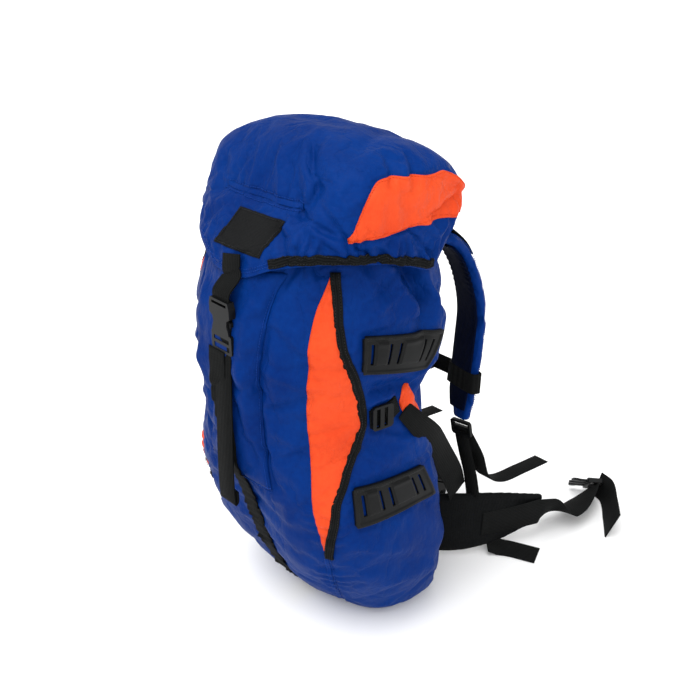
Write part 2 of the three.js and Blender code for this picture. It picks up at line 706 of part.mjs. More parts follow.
function lidLabel() {
  const bottom = lid.place(0, LABEL_LEVEL);
  let top = LABEL_LEVEL;
  while (lid.place(0, top).distanceTo(bottom) < LABEL_HEIGHT && top < 0.7) top += 0.005;
  const heightAt = (level) => lidHeight(0, level);
  const grid = (height) => [0, 0.5, 1].map((v) => {
    const level = mix(LABEL_LEVEL, top, v);
    const reach = lidPoint(0, level).y - lidPoint(90, level).y;
    return Array.from({ length: 4 }, (_, c) => {
      const x = (c / 3 - 0.5) * LABEL_WIDTH + LABEL_ASIDE + LABEL_LEAN * v;
      const angle = THREE.MathUtils.radToDeg(Math.atan2(x, -reach));
      const hem = lidHeight(angle, 0);
      return lid.lift(angle, (heightAt(level) - hem) / (heightAt(1) - hem), height);
    });
  });
  addLayer('label_patch', sheet(grid(-CUT_DEPTH), grid(CUT_DEPTH)), 'webbing', lid, SKIN_GAP, LABEL_THICK);
}

// Place on the back of the bag at a distance from the middle plane
function backPlace(x, z, height = 0) {
  let [low, high] = [100, 180];
  for (let i = 0; i < 30; i += 1) {
    const angle = (low + high) / 2;
    if (bag.place(angle, z).x > Math.abs(x)) low = angle;
    else high = angle;
  }
  const p = bag.lift((low + high) / 2, z, height);
  return vec(Math.sign(x) * p.x, p.y, p.z);
}

// Front strap: from under the label over the hem, through the buckle and down to the base
const STRAP_TOP_LEVEL = 0.142;
const BUCKLE_ASIDE = 11;
const BUCKLE_TOP = LID_BASE - BUCKLE_DROP;
const buckleBack = bag.lift(0, BUCKLE_TOP - SOCKET_LENGTH, POCKET_TOP + SEAT_GAP).y;
const BUCKLE_Y = buckleBack - BUCKLE_THICK / 2 - 2.5;

function lidStrap() {
  const lift = SKIN_GAP + WEB_THICK / 2;
  const route = [[1.5, STRAP_TOP_LEVEL], [2.2, 0.1], [3.2, 0.05], [4, 0.01]];
  const points = route.map(([angle, level]) => lid.lift(angle, level, lift));
  points.push(vec(BUCKLE_ASIDE, BUCKLE_Y, BUCKLE_TOP + 8), vec(BUCKLE_ASIDE, BUCKLE_Y, BUCKLE_TOP + SEAT_GAP));
  const strap = band({ points, width: FRONT_WEB, thick: WEB_THICK, steps: 10 });
  addTrimmed('lid_strap', strap, 'webbing', lid);
}

// Female half of the buckle: a flat case, open below, with a rounded window at each side
function socketSolid(width, length, thick) {
  const half = width / 2;
  const window = length * 0.17;
  const outline = [[-half * 0.86, 0], [half * 0.86, 0], [half, -length * 0.2], [half, -length * 0.48],
    [half * 0.72, -length * 0.56], [half * 0.66, -length * 0.56 - window],
    [half * 0.8, -length * 0.9], [half * 0.84, -length],
    [-half * 0.84, -length], [-half * 0.8, -length * 0.9], [-half * 0.66, -length * 0.56 - window],
    [-half * 0.72, -length * 0.56], [-half, -length * 0.48], [-half, -length * 0.2]];
  const slot = rectangle(-half * 0.72, -length * 0.16, half * 0.72, -length * 0.08);
  const shell = plate(outline, thick, [slot]);
  const cavity = plate(rectangle(-half * 1.2, -length * 1.1, half * 1.2, -length * 0.5), thick * 0.5);
  const wide = plate(rectangle(-half * 0.62, -length * 0.6, half * 0.62, -length * 0.3), thick * 0.5);
  return shell.subtract(cavity.add(wide));
}

// Male half: side prongs and a guide tongue in the case, and a ladder frame below it
function plugSolid(width, length, thick, caseLength) {
  const half = width / 2;
  const prong = caseLength * 0.46;
  const gap = SEAT_GAP * 2;
  const inner = thick * 0.5 - gap;
  const frame = plate(cutRectangle(-half, -length, half, -gap, 2), thick * 0.8, [
    rectangle(-half * 0.76, -length * 0.86, half * 0.76, -length * 0.62),
    rectangle(-half * 0.76, -length * 0.46, half * 0.76, -length * 0.26),
  ]);
  const prongs = [1, -1].map((side) => plate([
    [side * half * 0.5, -gap * 2], [side * half * 0.72, -gap * 2], [side * half * 0.78, prong * 0.45],
    [side * half * 0.92, prong * 0.6], [side * half * 0.9, prong * 0.86], [side * half * 0.62, prong * 0.95],
    [side * half * 0.52, prong * 0.6],
  ], inner));
  const tongue = plate(rectangle(-half * 0.12, -gap * 2, half * 0.12, prong), inner);
  return frame.add(prongs[0]).add(prongs[1]).add(tongue);
}

function frontBuckle() {
  const socket = geometryOf(socketSolid(BUCKLE_WIDTH, SOCKET_LENGTH, BUCKLE_THICK));
  const socketPlace = vec(BUCKLE_ASIDE, BUCKLE_Y, BUCKLE_TOP);
  addMesh('lid_buckle_socket', placed(socket, socketPlace, vec(1, 0, 0), vec(0, 0, 1)), 'plastic');
  const plug = geometryOf(plugSolid(BUCKLE_WIDTH, PLUG_LENGTH, BUCKLE_THICK, SOCKET_LENGTH));
  const plugPlace = vec(BUCKLE_ASIDE, BUCKLE_Y, BUCKLE_TOP - SOCKET_LENGTH);
  addMesh('lid_buckle_plug', placed(plug, plugPlace, vec(1, 0, 0), vec(0, 0, 1)), 'plastic');
}

const PLUG_END = BUCKLE_TOP - SOCKET_LENGTH - PLUG_LENGTH;
const TAIL_DROP = 0.373 * BODY_HEIGHT;

function frontTail() {
  const front = BUCKLE_Y - 1;
  const top = PLUG_END - SEAT_GAP;
  const reach = TAIL_DROP;
  const points = [[0, 0], [-1, -0.1], [-2.5, -0.4], [-3, -0.75], [-1, -1]].map(([y, share]) => (
    vec(BUCKLE_ASIDE * (1 - share * share * 0.9), front + y, top + share * reach)));
  addMesh('front_strap_tail', band({ points, width: FRONT_WEB, thick: WEB_THICK, steps: 8 }), 'webbing');
}

const ANCHOR_LOW = 0.02 * BODY_HEIGHT;

function frontAnchor() {
  const top = PLUG_END - SEAT_GAP;
  const below = POCKET_LOW - 14;
  const above = POCKET_LOW - 2;
  const stations = [...stationsBetween(ANCHOR_LOW, below), ...stationsBetween(above, top)];
  const route = stations.map((z) => [0, z]);
  const lift = stations.map((z) => (z >= above ? POCKET_TOP : SKIN_GAP) + SEAT_GAP);
  const tape = surfaceTape(bag, route, FRONT_WEB, lift, WEB_THICK);
  addTrimmed('front_strap_anchor', tape, 'webbing', bag);
}

// Compression strap and its ladder lock on each side
const SQUEEZE = [[67.5, 0.602], [72, 0.602], [77, 0.607], [82.5, 0.62]];
const LOCK_LENGTH = 30;
const LOCK_HEIGHT = 31;
const LOCK_THICK = 4;

function sideStrap(side, hand) {
  const line = SQUEEZE.map(([angle, share]) => vec(angle, share * BODY_HEIGHT, 0));
  const curve = new THREE.CatmullRomCurve3(line);
  const route = Array.from({ length: 7 }, (_, i) => curve.getPointAt(i / 6)).map((p) => [side * p.x, p.y]);
  const outline = surfaceTape(bag, route, SIDE_WEB, -CUT_DEPTH, CUT_DEPTH * 2);
  addLayer(`side_strap_${hand}`, outline, 'webbing', bag, SKIN_GAP, WEB_THICK);
}

function ladderLock(length, height, thick) {
  const [x, y] = [length / 2, height / 2];
  return plate(cutRectangle(-x, -y, x, y, 3), thick, [
    rectangle(-x * 0.66, -y * 0.8, -x * 0.3, y * 0.8),
    rectangle(x * 0.1, -y * 0.8, x * 0.42, y * 0.8),
  ]);
}

function sideLock(side, hand) {
  const [angle, share] = [73.4, 0.603];
  const lift = SKIN_GAP + WEB_THICK + SEAT_GAP * 2 + LOCK_THICK / 2 + 1;
  const place = bag.lift(side * angle, share * BODY_HEIGHT, lift);
  const normal = bag.normal(side * angle, share * BODY_HEIGHT);
  const across = vec(0, 0, 1).cross(normal);
  const lock = geometryOf(ladderLock(LOCK_LENGTH, LOCK_HEIGHT, LOCK_THICK));
  addMesh(`side_ladder_lock_${hand}`, placed(lock, place, across, vec(0, 0, 1)), 'plastic');
}

// Padded back and lumbar pad on the wearer's side
const BACK_LOW = 0.27 * BODY_HEIGHT;
const BACK_HIGH = 0.9 * BODY_HEIGHT;
const LUMBAR_LOW = 0.035 * BODY_HEIGHT;
const LUMBAR_HIGH = 0.255 * BODY_HEIGHT;

function backPads() {
  const thickest = LUMBAR_PAD + CUT_DEPTH;
  const back = bagOutline(BACK_LOW, BACK_HIGH, () => [140, 220], 2, 1, thickest * 2);
  addLayer('back_panel', back, 'pad', bag, SKIN_GAP, BACK_PAD);
  const lumbar = bagOutline(LUMBAR_LOW, LUMBAR_HIGH, () => [136, 224], 4, 1, thickest);
  addLayer('lumbar_pad', lumbar, 'pad', bag, SKIN_GAP, LUMBAR_PAD);
}

// Shoulder straps: distance from the middle plane, reach behind and height along each strap
const STRAP = tableOf(['x', 'reach', 'height'], [
  [0.46, 0.3, 0.918], [0.475, 0.41, 0.892], [0.49, 0.49, 0.846], [0.505, 0.555, 0.779],
  [0.51, 0.596, 0.7], [0.51, 0.588, 0.622], [0.515, 0.566, 0.535], [0.52, 0.55, 0.465], [0.53, 0.54, 0.412],
]);

// Along the strap: turn about its length in degrees and share of its width
const STRAP_TURN = 17;
const STRAP_CHANGES = [[0, 0, 0.92], [0.2, 12, 1], [0.35, STRAP_TURN, 1], [0.72, STRAP_TURN, 0.98],
  [0.88, 12, 0.8], [1, 6, 0.45]];
const STRAP_START = 0.912;

function strapPoints(side) {
  const first = backPlace(side * STRAP[0].x * (PACK_WIDTH / 2), STRAP_START * BODY_HEIGHT, -3);
  const rest = STRAP.map(({ x, reach, height }) => (
    vec((side * x * PACK_WIDTH) / 2, reach * PACK_DEPTH, height * BODY_HEIGHT)));
  return [first, ...rest];
}

const STRAP_STEPS = 18;
const LINING_GAP = 1;

// A layer of the shoulder strap between two of its sections, at a height over its middle
function strapLayer(side, from, to, width, thick, shift, profile = WEB_PROFILE) {
  const changes = STRAP_CHANGES.map(([at, turn, share]) => [at, side * turn, share]);
  return band({
    points: strapPoints(side), changes, steps: Math.ceil(to - from), width, thick, shift, profile,
    from: from / STRAP_STEPS, to: to / STRAP_STEPS,
  });
}

function shoulderStrap(side, hand) {
  const whole = strapLayer(side, 0, STRAP_STEPS, STRAP_WIDTH, STRAP_PAD, 0, PAD_PROFILE);
  addTrimmed(`shoulder_strap_${hand}`, whole, 'blue', bag);
  const shift = -(STRAP_PAD + LINING_THICK) / 2 - LINING_GAP;
  const lining = strapLayer(side, 2, STRAP_STEPS - 1, STRAP_WIDTH * 0.8, LINING_THICK, shift);
  addMesh(`shoulder_lining_${hand}`, lining, 'lining');
}

// A place given as shares of half the pack width, the pack depth and the body height
const spot = (side, [x, y, z]) => vec((side * x * PACK_WIDTH) / 2, y * PACK_DEPTH, z * BODY_HEIGHT);
const spots = (side, rows) => rows.map((row) => spot(side, row));

// Load lifter: webbing from the top of the bag down to the outer face of the strap
const LIFTER_SECTION = 4;

function loadLifter(side, hand) {
  const lift = (STRAP_PAD + WEB_THICK) / 2 + SEAT_GAP + 1;
  const curve = new THREE.CatmullRomCurve3(strapPoints(side), false, 'centripetal');
  const onStrap = [LIFTER_SECTION + 1, LIFTER_SECTION, LIFTER_SECTION - 1].map((section) => {
    const at = section / STRAP_STEPS;
    const out = vec(1, 0, 0).cross(curve.getTangentAt(at)).normalize();
    return curve.getPointAt(at).addScaledVector(out, lift);
  });
  const top = [0.46 * side * (PACK_WIDTH / 2), 0.957 * BODY_HEIGHT];
  const points = [...onStrap, backPlace(top[0], top[1], 14), backPlace(top[0], top[1] + 3, -2)];
  const strap = solidOf(band({ points, width: SHOULDER_WEB, thick: WEB_THICK, steps: 10 }));
  const padding = solidOf(strapLayer(side, 0, 9, STRAP_WIDTH, STRAP_PAD + SEAT_GAP * 2, 0));
  const free = strap.subtract(padding).subtract(surfaceCore(bag, SEAT_GAP));
  addMesh(`load_lifter_${hand}`, geometryOf(free), 'webbing');
}

// Band round the strap that holds the chest strap
const SLEEVE = { from: 13.9, to: 15.4, wall: 2, loose: 0.8 };

function sternumBand(side, hand) {
  const inner = STRAP_PAD + LINING_THICK + LINING_GAP + SLEEVE.loose;
  const shift = -(LINING_THICK + LINING_GAP) / 2;
  const clear = STRAP_WIDTH + SLEEVE.loose;
  const [wide, deep] = [clear + SLEEVE.wall * 2, inner + SLEEVE.wall * 2];
  const outside = strapLayer(side, SLEEVE.from, SLEEVE.to, wide, deep, shift);
  const inside = strapLayer(side, SLEEVE.from - 0.75, SLEEVE.to + 0.75, clear, inner, shift);
  addMesh(`sternum_band_${hand}`, geometryOf(solidOf(outside).subtract(solidOf(inside))), 'webbing');
}

// Chest strap between the two bands, joined by a flat buckle in the middle
const CHEST_BUCKLE = 16;
const CHEST_REACH = 2.2;
const CHEST_BUCKLE_THICK = 7;

function chestPlace() {
  const curve = new THREE.CatmullRomCurve3(strapPoints(1), false, 'centripetal');
  const middle = curve.getPointAt((SLEEVE.from + SLEEVE.to) / 2 / STRAP_STEPS);
  const half = (STRAP_WIDTH + SLEEVE.loose) / 2 + SLEEVE.wall;
  const inside = middle.x - half * Math.cos(rad(STRAP_TURN));
  return { y: middle.y + half * Math.sin(rad(STRAP_TURN)), z: middle.z, inside };
}

function chestStrap(side, hand) {
  const { y, z, inside } = chestPlace();
  const points = [vec(side * (inside + CHEST_REACH), y, z), vec(side * inside * 0.7, y + 1, z - 1),
    vec(side * (CHEST_BUCKLE + SEAT_GAP * 3), y, z - 2)];
  addMesh(`sternum_strap_${hand}`, band({
    points, width: SIDE_WEB, thick: WEB_THICK, steps: 3, hint: vec(0, 0, 1),
  }), 'webbing');
}

function chestBuckle() {
  const { y, z } = chestPlace();
  const length = CHEST_BUCKLE;
  const half = SIDE_WEB / 2 + 2;
  const body = plate(cutRectangle(-length, -half, length, half, 3), CHEST_BUCKLE_THICK, [
    rectangle(-length * 0.82, -SIDE_WEB * 0.4, -length * 0.6, SIDE_WEB * 0.4),
    rectangle(length * 0.6, -SIDE_WEB * 0.4, length * 0.82, SIDE_WEB * 0.4),
  ]);
  const buckle = placed(geometryOf(body), vec(0, y, z - 2), vec(1, 0, 0), vec(0, 0, 1));
  addMesh('sternum_buckle', buckle, 'plastic');
}

// Lower end of the shoulder strap: ladder lock, webbing down to the hip wing and its free end
const SHOULDER_LOCK = { length: 24, width: 36, thick: 5 };
const STRAP_END = [0.53, 0.54, 0.412];
const LOCK_SPOT = [0.537, 0.542, 0.386];
const DOWN = [[0.544, 0.545, 0.3625], [0.575, 0.562, 0.31], [0.625, 0.578, 0.25], [0.66, 0.588, 0.188]];
const FREE_END = [
  [0.537, 0.5585, 0.386], [0.56, 0.585, 0.36], [0.6, 0.64, 0.305], [0.65, 0.68, 0.235],
  [0.68, 0.78, 0.208], [0.69, 1.0, 0.197], [0.69, 1.216, 0.188],
];

function shoulderLock(side, hand) {
  const lock = geometryOf(ladderLock(SHOULDER_LOCK.length, SHOULDER_LOCK.width, SHOULDER_LOCK.thick));
  const down = spot(side, DOWN[1]).sub(spot(side, STRAP_END));
  addMesh(`shoulder_lock_${hand}`, placed(lock, spot(side, LOCK_SPOT), down, vec(1, 0, 0)), 'plastic');
}

function shoulderWebbing(side, hand) {
  const down = { width: SHOULDER_WEB, thick: WEB_THICK };
  addOffWing(`shoulder_webbing_${hand}`, band({ ...down, steps: 6, points: spots(side, DOWN) }), side);
  addMesh(`shoulder_tail_${hand}`, band({ ...down, steps: 11, points: spots(side, FREE_END) }), 'webbing');
}

// Padded wings of the hip belt: place of the middle line and height of each section
const WING = tableOf(['x', 'reach', 'height', 'tall'], [
  [0.2, 0.375, 0.108, 0.94], [0.36, 0.385, 0.108, 1.0], [0.475, 0.44, 0.108, 1.0], [0.57, 0.51, 0.107, 0.98],
  [0.696, 0.64, 0.105, 0.9], [0.795, 0.8, 0.102, 0.77],
  [0.863, 0.944, 0.098, 0.6], [0.913, 1.048, 0.096, 0.44],
]);

function wingBand(side, width, thick) {
  const steps = 11;
  const points = WING.map(({ x, reach, height }) => spot(side, [x, reach, height]));
  const changes = WING.map(({ tall }, i) => [i / (WING.length - 1), 0, tall]);
  return band({ points, width, thick, steps, hint: vec(0, 0, 1), changes, profile: PAD_PROFILE });
}

// Webbing that meets a wing, trimmed so that it clears the wing
function addOffWing(name, geometry, side) {
  const wing = wingBand(side, WING_HEIGHT + SEAT_GAP * 2, WING_PAD + SEAT_GAP * 2);
  addMesh(name, geometryOf(solidOf(geometry).subtract(solidOf(wing))), 'webbing');
}

function hipWing(side, hand) {
  const wing = wingBand(side, WING_HEIGHT, WING_PAD);
  addTrimmed(`hip_wing_${hand}`, wing, 'pad', bag, SKIN_GAP + LUMBAR_PAD + SEAT_GAP);
}

// Wide strap from the side of the bag down to the top of the hip wing
const STABILISER = [[0.742, 0.24, 0.383], [0.64, 0.42, 0.275], [0.57, 0.51, 0.206]];

function hipStabiliser(side, hand) {
  const over = SKIN_TOP + SEAT_GAP;
  const onBag = [[87, 0.598], [95, 0.557], [103, 0.507]].map(([angle, share]) => (
    bag.lift(side * angle, share * BODY_HEIGHT, over + WEB_THICK * 0.6)));
  const points = [...onBag, ...spots(side, STABILISER)];
  const changes = [[0, 0, 0.62], [0.3, 0, 1], [1, 0, 1]];
  const strap = band({ points, width: TAIL_WEB, thick: WEB_THICK, steps: 12, hint: vec(0, 0.75, 0.6), changes });
  addOffWing(`hip_stabiliser_${hand}`, geometryOf(solidOf(strap).subtract(surfaceCore(bag, over))), side);
}

// Lower free strap, from under the edge of the wing out over the floor
const HIP_TAIL = [[0.72, 0.7, 12.5], [0.755, 0.735, 7], [0.8, 0.765, 2], [0.87, 0.8, 0], [1.115, 0.872, 0]];

function hipTail(side, hand) {
  const rest = WEB_THICK / 2 + SEAT_GAP * 2;
  const points = HIP_TAIL.map(([x, y, z]) => spot(side, [x, y, 0]).setZ(z + rest));
  const across = vec(-side * 0.42, 0.9, 0);
  const strap = band({ points, width: TAIL_WEB, thick: WEB_THICK, steps: 8, hint: across });
  addOffWing(`hip_tail_${hand}`, strap, side);
}

// Belt webbing on the outer face of each wing; the right half ends in a male buckle with a free
// end beyond it, the left half folds back behind the bag to the female buckle
const WING_FACE = WING_PAD / 2 + WEB_THICK / 2 + SEAT_GAP;
const BELT_RIGHT = [[0.937, 1.16, 0.064], [0.975, 1.32, 0.04], [0.932, 1.5, 0.036], [0.888, 1.64, 0.042]];
const BELT_LEFT = [[0.905, 1.18, 0.055], [0.74, 1.21, 0.028], [0.53, 1.13, 0.012], [0.39, 0.99, 0.01]];
const BELT_TAIL = [[1.05, 1.65, 0.044], [1.25, 1.5, 0.042], [1.42, 1.36, 0.041]];
const TAIL_ACROSS = vec(0.3, 0.2, 0.93);

// Place on the outer face of a wing at one of its sections
function wingFace(side, section) {
  const { x, reach, height } = WING[section];
  const before = WING[section - 1];
  const across = (x - before.x) * (PACK_WIDTH / 2);
  const along = (reach - before.reach) * PACK_DEPTH;
  const length = Math.hypot(across, along);
  return spot(side, [x, reach, height])
    .add(vec((side * along * WING_FACE) / length, (-across * WING_FACE) / length, 0));
}

const BELT_LOCK = { width: 52, length: 25, thick: 9, caseLength: 56 };
const PLUG_MOUTH = [0.814, 1.628, 0.045];
const PLUG_WAY = vec(-0.735, -0.678, 0.05);
const PLUG_ACROSS = vec(0.48, -0.52, 0.7);

// Block round the male buckle's frame, which trims the webbing that meets it
function plugBlock(extra) {
  const half = BELT_LOCK.width / 2 + extra;
  const outline = rectangle(-half, -BELT_LOCK.length - extra, half, extra);
  const block = geometryOf(plate(outline, BELT_LOCK.thick + extra * 2));
  return solidOf(placed(block, spot(1, PLUG_MOUTH), PLUG_ACROSS, PLUG_WAY));
}

function beltPiece(name, side, points, changes, hint, steps) {
  const strap = solidOf(band({ points, changes, hint, steps, width: BELT_WEB, thick: WEB_THICK }));
  addOffWing(name, geometryOf(strap.subtract(plugBlock(SEAT_GAP))), side);
}

function hipBelt() {
  const onWing = (side) => [4, 5, 6, 7].map((section) => wingFace(side, section));
  const up = vec(0, 0, 1);
  const turns = [[0, 0, 0.8], [0.36, 0, 0.9], [0.52, 50, 1], [0.66, 85, 1], [0.85, 60, 1], [1, 35, 1]];
  beltPiece('belt_webbing_right', 1, [...onWing(1), ...spots(1, BELT_RIGHT)], turns, up, 13);
  const folds = [[0, 0, 0.8], [0.36, 0, 0.9], [0.6, -60, 1], [0.75, -90, 1], [1, -90, 1]];
  beltPiece('belt_webbing_left', -1, [...onWing(-1), ...spots(-1, BELT_LEFT)], folds, up, 13);
  const start = spot(1, PLUG_MOUTH).addScaledVector(PLUG_WAY, -BELT_LOCK.length - 2);
  beltPiece('belt_tail', 1, [start, ...spots(1, BELT_TAIL)], [[0, 0, 0.9], [1, 0, 1]], TAIL_ACROSS, 6);
}

function beltBuckles() {
  const { width, length, thick, caseLength } = BELT_LOCK;
  const plug = geometryOf(plugSolid(width, length, thick, caseLength));
  addMesh('belt_buckle_plug', placed(plug, spot(1, PLUG_MOUTH), PLUG_ACROSS, PLUG_WAY), 'plastic');
  const end = spot(-1, BELT_LEFT[3]);
  const way = spot(-1, BELT_LEFT[2]).sub(end).setZ(0).normalize();
  const place = end.clone().addScaledVector(way, -SEAT_GAP).setZ(thick / 2 + SEAT_GAP);
  const socket = geometryOf(socketSolid(width, caseLength, thick));
  addMesh('belt_buckle_socket', placed(socket, place, way.clone().cross(vec(0, 0, 1)), way), 'plastic');
}

addMesh('pack_body', bagShell(), 'blue');
bothSides(frontCrescent);
bothSides(frontBinding);
bothSides(rearLeaf);
frontPocket();
for (const level of ['upper', 'lower']) bothSides((side, hand) => lashPatch(side, hand, level));
addMesh('lid', lidCap(), 'blue');
bothSides(lidEndPanel);
bothSides(lidHem);
lidLabel();
lidStrap();
frontBuckle();
frontTail();
frontAnchor();
bothSides(sideStrap);
bothSides(sideLock);
backPads();
bothSides(shoulderStrap);
bothSides(loadLifter);
bothSides(sternumBand);
bothSides(chestStrap);
chestBuckle();
bothSides(shoulderLock);
bothSides(shoulderWebbing);
bothSides(hipWing);
bothSides(hipStabiliser);
bothSides(hipTail);
hipBelt();
beltBuckles();

export default root;
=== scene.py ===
import math

import bpy
import numpy as np
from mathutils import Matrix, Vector, noise


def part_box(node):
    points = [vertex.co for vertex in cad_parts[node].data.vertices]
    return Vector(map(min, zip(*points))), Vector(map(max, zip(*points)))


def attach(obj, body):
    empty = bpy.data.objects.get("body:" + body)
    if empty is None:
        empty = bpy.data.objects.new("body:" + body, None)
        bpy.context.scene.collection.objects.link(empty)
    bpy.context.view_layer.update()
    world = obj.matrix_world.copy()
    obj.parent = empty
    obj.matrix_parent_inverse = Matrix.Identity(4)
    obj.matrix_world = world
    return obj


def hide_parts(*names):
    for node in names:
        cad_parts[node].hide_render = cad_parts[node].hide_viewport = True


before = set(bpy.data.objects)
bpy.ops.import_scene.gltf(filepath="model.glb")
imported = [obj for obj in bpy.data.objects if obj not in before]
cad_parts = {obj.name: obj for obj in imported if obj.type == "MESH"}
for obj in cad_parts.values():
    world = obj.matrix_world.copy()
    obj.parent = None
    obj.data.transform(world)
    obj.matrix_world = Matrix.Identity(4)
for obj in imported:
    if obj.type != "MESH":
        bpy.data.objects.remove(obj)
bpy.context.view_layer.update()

# Sizes in metres: +X is the wearer's right, -Y the front of the bag, +Z up
MM = 0.001
PACK_WIDTH = 0.322
PACK_DEPTH = 0.25
BODY_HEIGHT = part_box("pack_body")[1].z
LID_HEIGHT = 0.16
LID_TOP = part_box("lid")[1].z
LID_BASE = LID_TOP - LID_HEIGHT
CLOTH = 0.0015
FRONT_WEB = 0.032
SIDE_WEB = 0.025
SHOULDER_WEB = 0.025
BELT_WEB = 0.048
TAIL_WEB = 0.038
WEB_THICK = 0.0018
BINDING_WIDTH = 0.012
HEM_WIDTH = 0.011
STRAP_WIDTH = 0.06
STRAP_PAD = 0.013
LAID_GAP = 0.0004

# Sections of the bag: height, half width, front, middle, back as shares, squareness before and behind
BODY = [
    [0.0, 0.683, -0.232, 0.016, 0.296, 2.6, 3.4],
    [0.027, 0.795, -0.316, 0.008, 0.304, 2.6, 3.4],
    [0.089, 0.888, -0.448, -0.008, 0.264, 2.6, 3.0],
    [0.17, 0.963, -0.56, -0.024, 0.232, 3.4, 2.9],
    [0.25, 0.994, -0.624, -0.04, 0.224, 4.2, 2.9],
    [0.357, 0.988, -0.692, -0.072, 0.196, 4.2, 2.9],
    [0.446, 0.95, -0.752, -0.108, 0.172, 3.0, 2.8],
    [0.536, 0.9, -0.78, -0.152, 0.14, 2.4, 2.6],
    [0.625, 0.882, -0.788, -0.136, 0.132, 2.4, 2.6],
    [0.714, 0.95, -0.792, -0.08, 0.196, 2.4, 2.9],
    [0.786, 0.95, -0.784, -0.06, 0.24, 2.5, 2.9],
    [0.857, 0.894, -0.744, -0.06, 0.232, 2.5, 2.8],
    [0.929, 0.814, -0.68, -0.06, 0.2, 2.6, 2.6],
    [1.0, 0.7, -0.584, -0.06, 0.16, 2.6, 2.6],
]

# Dents of the bag: angle from the front, height share, reach of each, depth
DENTS = [
    [84, 0.885, 14, 0.035, 0.009],
    [78, 0.665, 16, 0.022, 0.004],
    [74, 0.535, 18, 0.022, 0.004],
]

# Sections of the lid, as for the bag, with heights as shares of the lid height
LID = [
    [0.0, 0.92, -0.752, -0.14, 0.19, 2.5, 3.2],
    [0.19, 0.92, -0.712, -0.14, 0.25, 2.7, 3.6],
    [0.34, 0.91, -0.636, -0.14, 0.28, 3.2, 4.4],
    [0.53, 0.885, -0.54, -0.14, 0.295, 4.2, 5.0],
    [0.66, 0.87, -0.49, -0.14, 0.27, 4.4, 4.6],
    [0.76, 0.835, -0.455, -0.15, 0.195, 4.0, 3.4],
    [0.86, 0.67, -0.41, -0.17, 0.07, 3.2, 2.6],
    [0.94, 0.42, -0.35, -0.2, -0.05, 2.5, 2.2],
    [0.985, 0.06, -0.25, -0.22, -0.2, 2.0, 2.0],
]

# Lower edge of the lid: angle from the front, share of the lid height
HEM = [
    [0, 0.02], [12, 0.045], [24, 0.13], [36, 0.185], [48, 0.21], [60, 0.2],
    [72, 0.175], [86, 0.11], [102, 0.04], [112, 0.2], [122, 0.3], [180, 0.32],
]

# Front crescents: height share, angle of the front seam, angle of the bound edge
CRESCENT = [
    [0.29, 41.6, 43.0], [0.33, 41.4, 44.4], [0.38, 40.5, 46.8], [0.427, 40.0, 48.8], [0.47, 40.8, 53.1],
    [0.505, 41.6, 56.7], [0.532, 41.9, 60.1], [0.56, 41.7, 62.5], [0.596, 40.6, 64.1], [0.643, 39.4, 61.5],
    [0.69, 38.2, 56.7], [0.725, 37.8, 53.4], [0.748, 37.6, 51.1], [0.78, 37.3, 48.8], [0.827, 38.5, 47.3],
    [0.866, 40.4, 47.0], [0.9, 43.2, 46.4], [0.925, 45.0, 46.2],
]

# Rear leaves: height share and the angles of both edges
LEAF = [
    [0.523, 101.4, 102.6], [0.55, 95.6, 101.2], [0.575, 89.6, 98.8], [0.604, 85.5, 95.6],
    [0.63, 83.6, 91.6], [0.648, 84.4, 89.0], [0.657, 85.6, 87.4],
]

# Raised front pocket: height share and half angle of its edge
POCKET = [
    [0.43, 21.4], [0.49, 20.8], [0.536, 20.2], [0.636, 19.4], [0.68, 17.8], [0.763, 19.2], [0.834, 21.1],
    [0.886, 23.6], [0.92, 27.0],
]

# End panels of the lid: angle and the levels of the lower and upper edges
END_PANEL = [
    [57, 0.175, 0.2], [60, 0.195, 0.335], [63, 0.21, 0.477], [69, 0.225, 0.663], [73, 0.235, 0.696],
    [80, 0.28, 0.71], [93, 0.343, 0.71], [104, 0.365, 0.695], [111, 0.24, 0.65], [115, 0.15, 0.595],
    [120, 0.105, 0.465], [126, 0.1, 0.36],
]


def smooth_rows(table, at):
    """The columns of a table after its first, at places in that first column, by a smooth curve."""
    table = np.asarray(table, float)
    keys = table[:, 0]
    last = len(keys) - 1
    at = np.clip(np.asarray(at, float), keys[0], keys[-1])
    i = np.clip(np.searchsorted(keys, at, side="right") - 1, 0, last - 1)
    before = np.maximum(np.arange(last + 1) - 1, 0)
    after = np.minimum(np.arange(last + 1) + 1, last)
    slopes = (table[after] - table[before]) / (keys[after] - keys[before])[:, None]
    step = (keys[i + 1] - keys[i])[..., None]
    t = (at - keys[i])[..., None] / step
    rise = 3 * t**2 - 2 * t**3
    ends = table[i] * (1 - rise) + table[i + 1] * rise
    turns = slopes[i] * (t**3 - 2 * t**2 + t) + slopes[i + 1] * (t**3 - t**2)
    return np.moveaxis(ends + turns * step, -1, 0)[1:]


def straight_rows(table, at):
    table = np.asarray(table, float)
    return [np.interp(at, table[:, 0], column) for column in table[:, 1:].T]


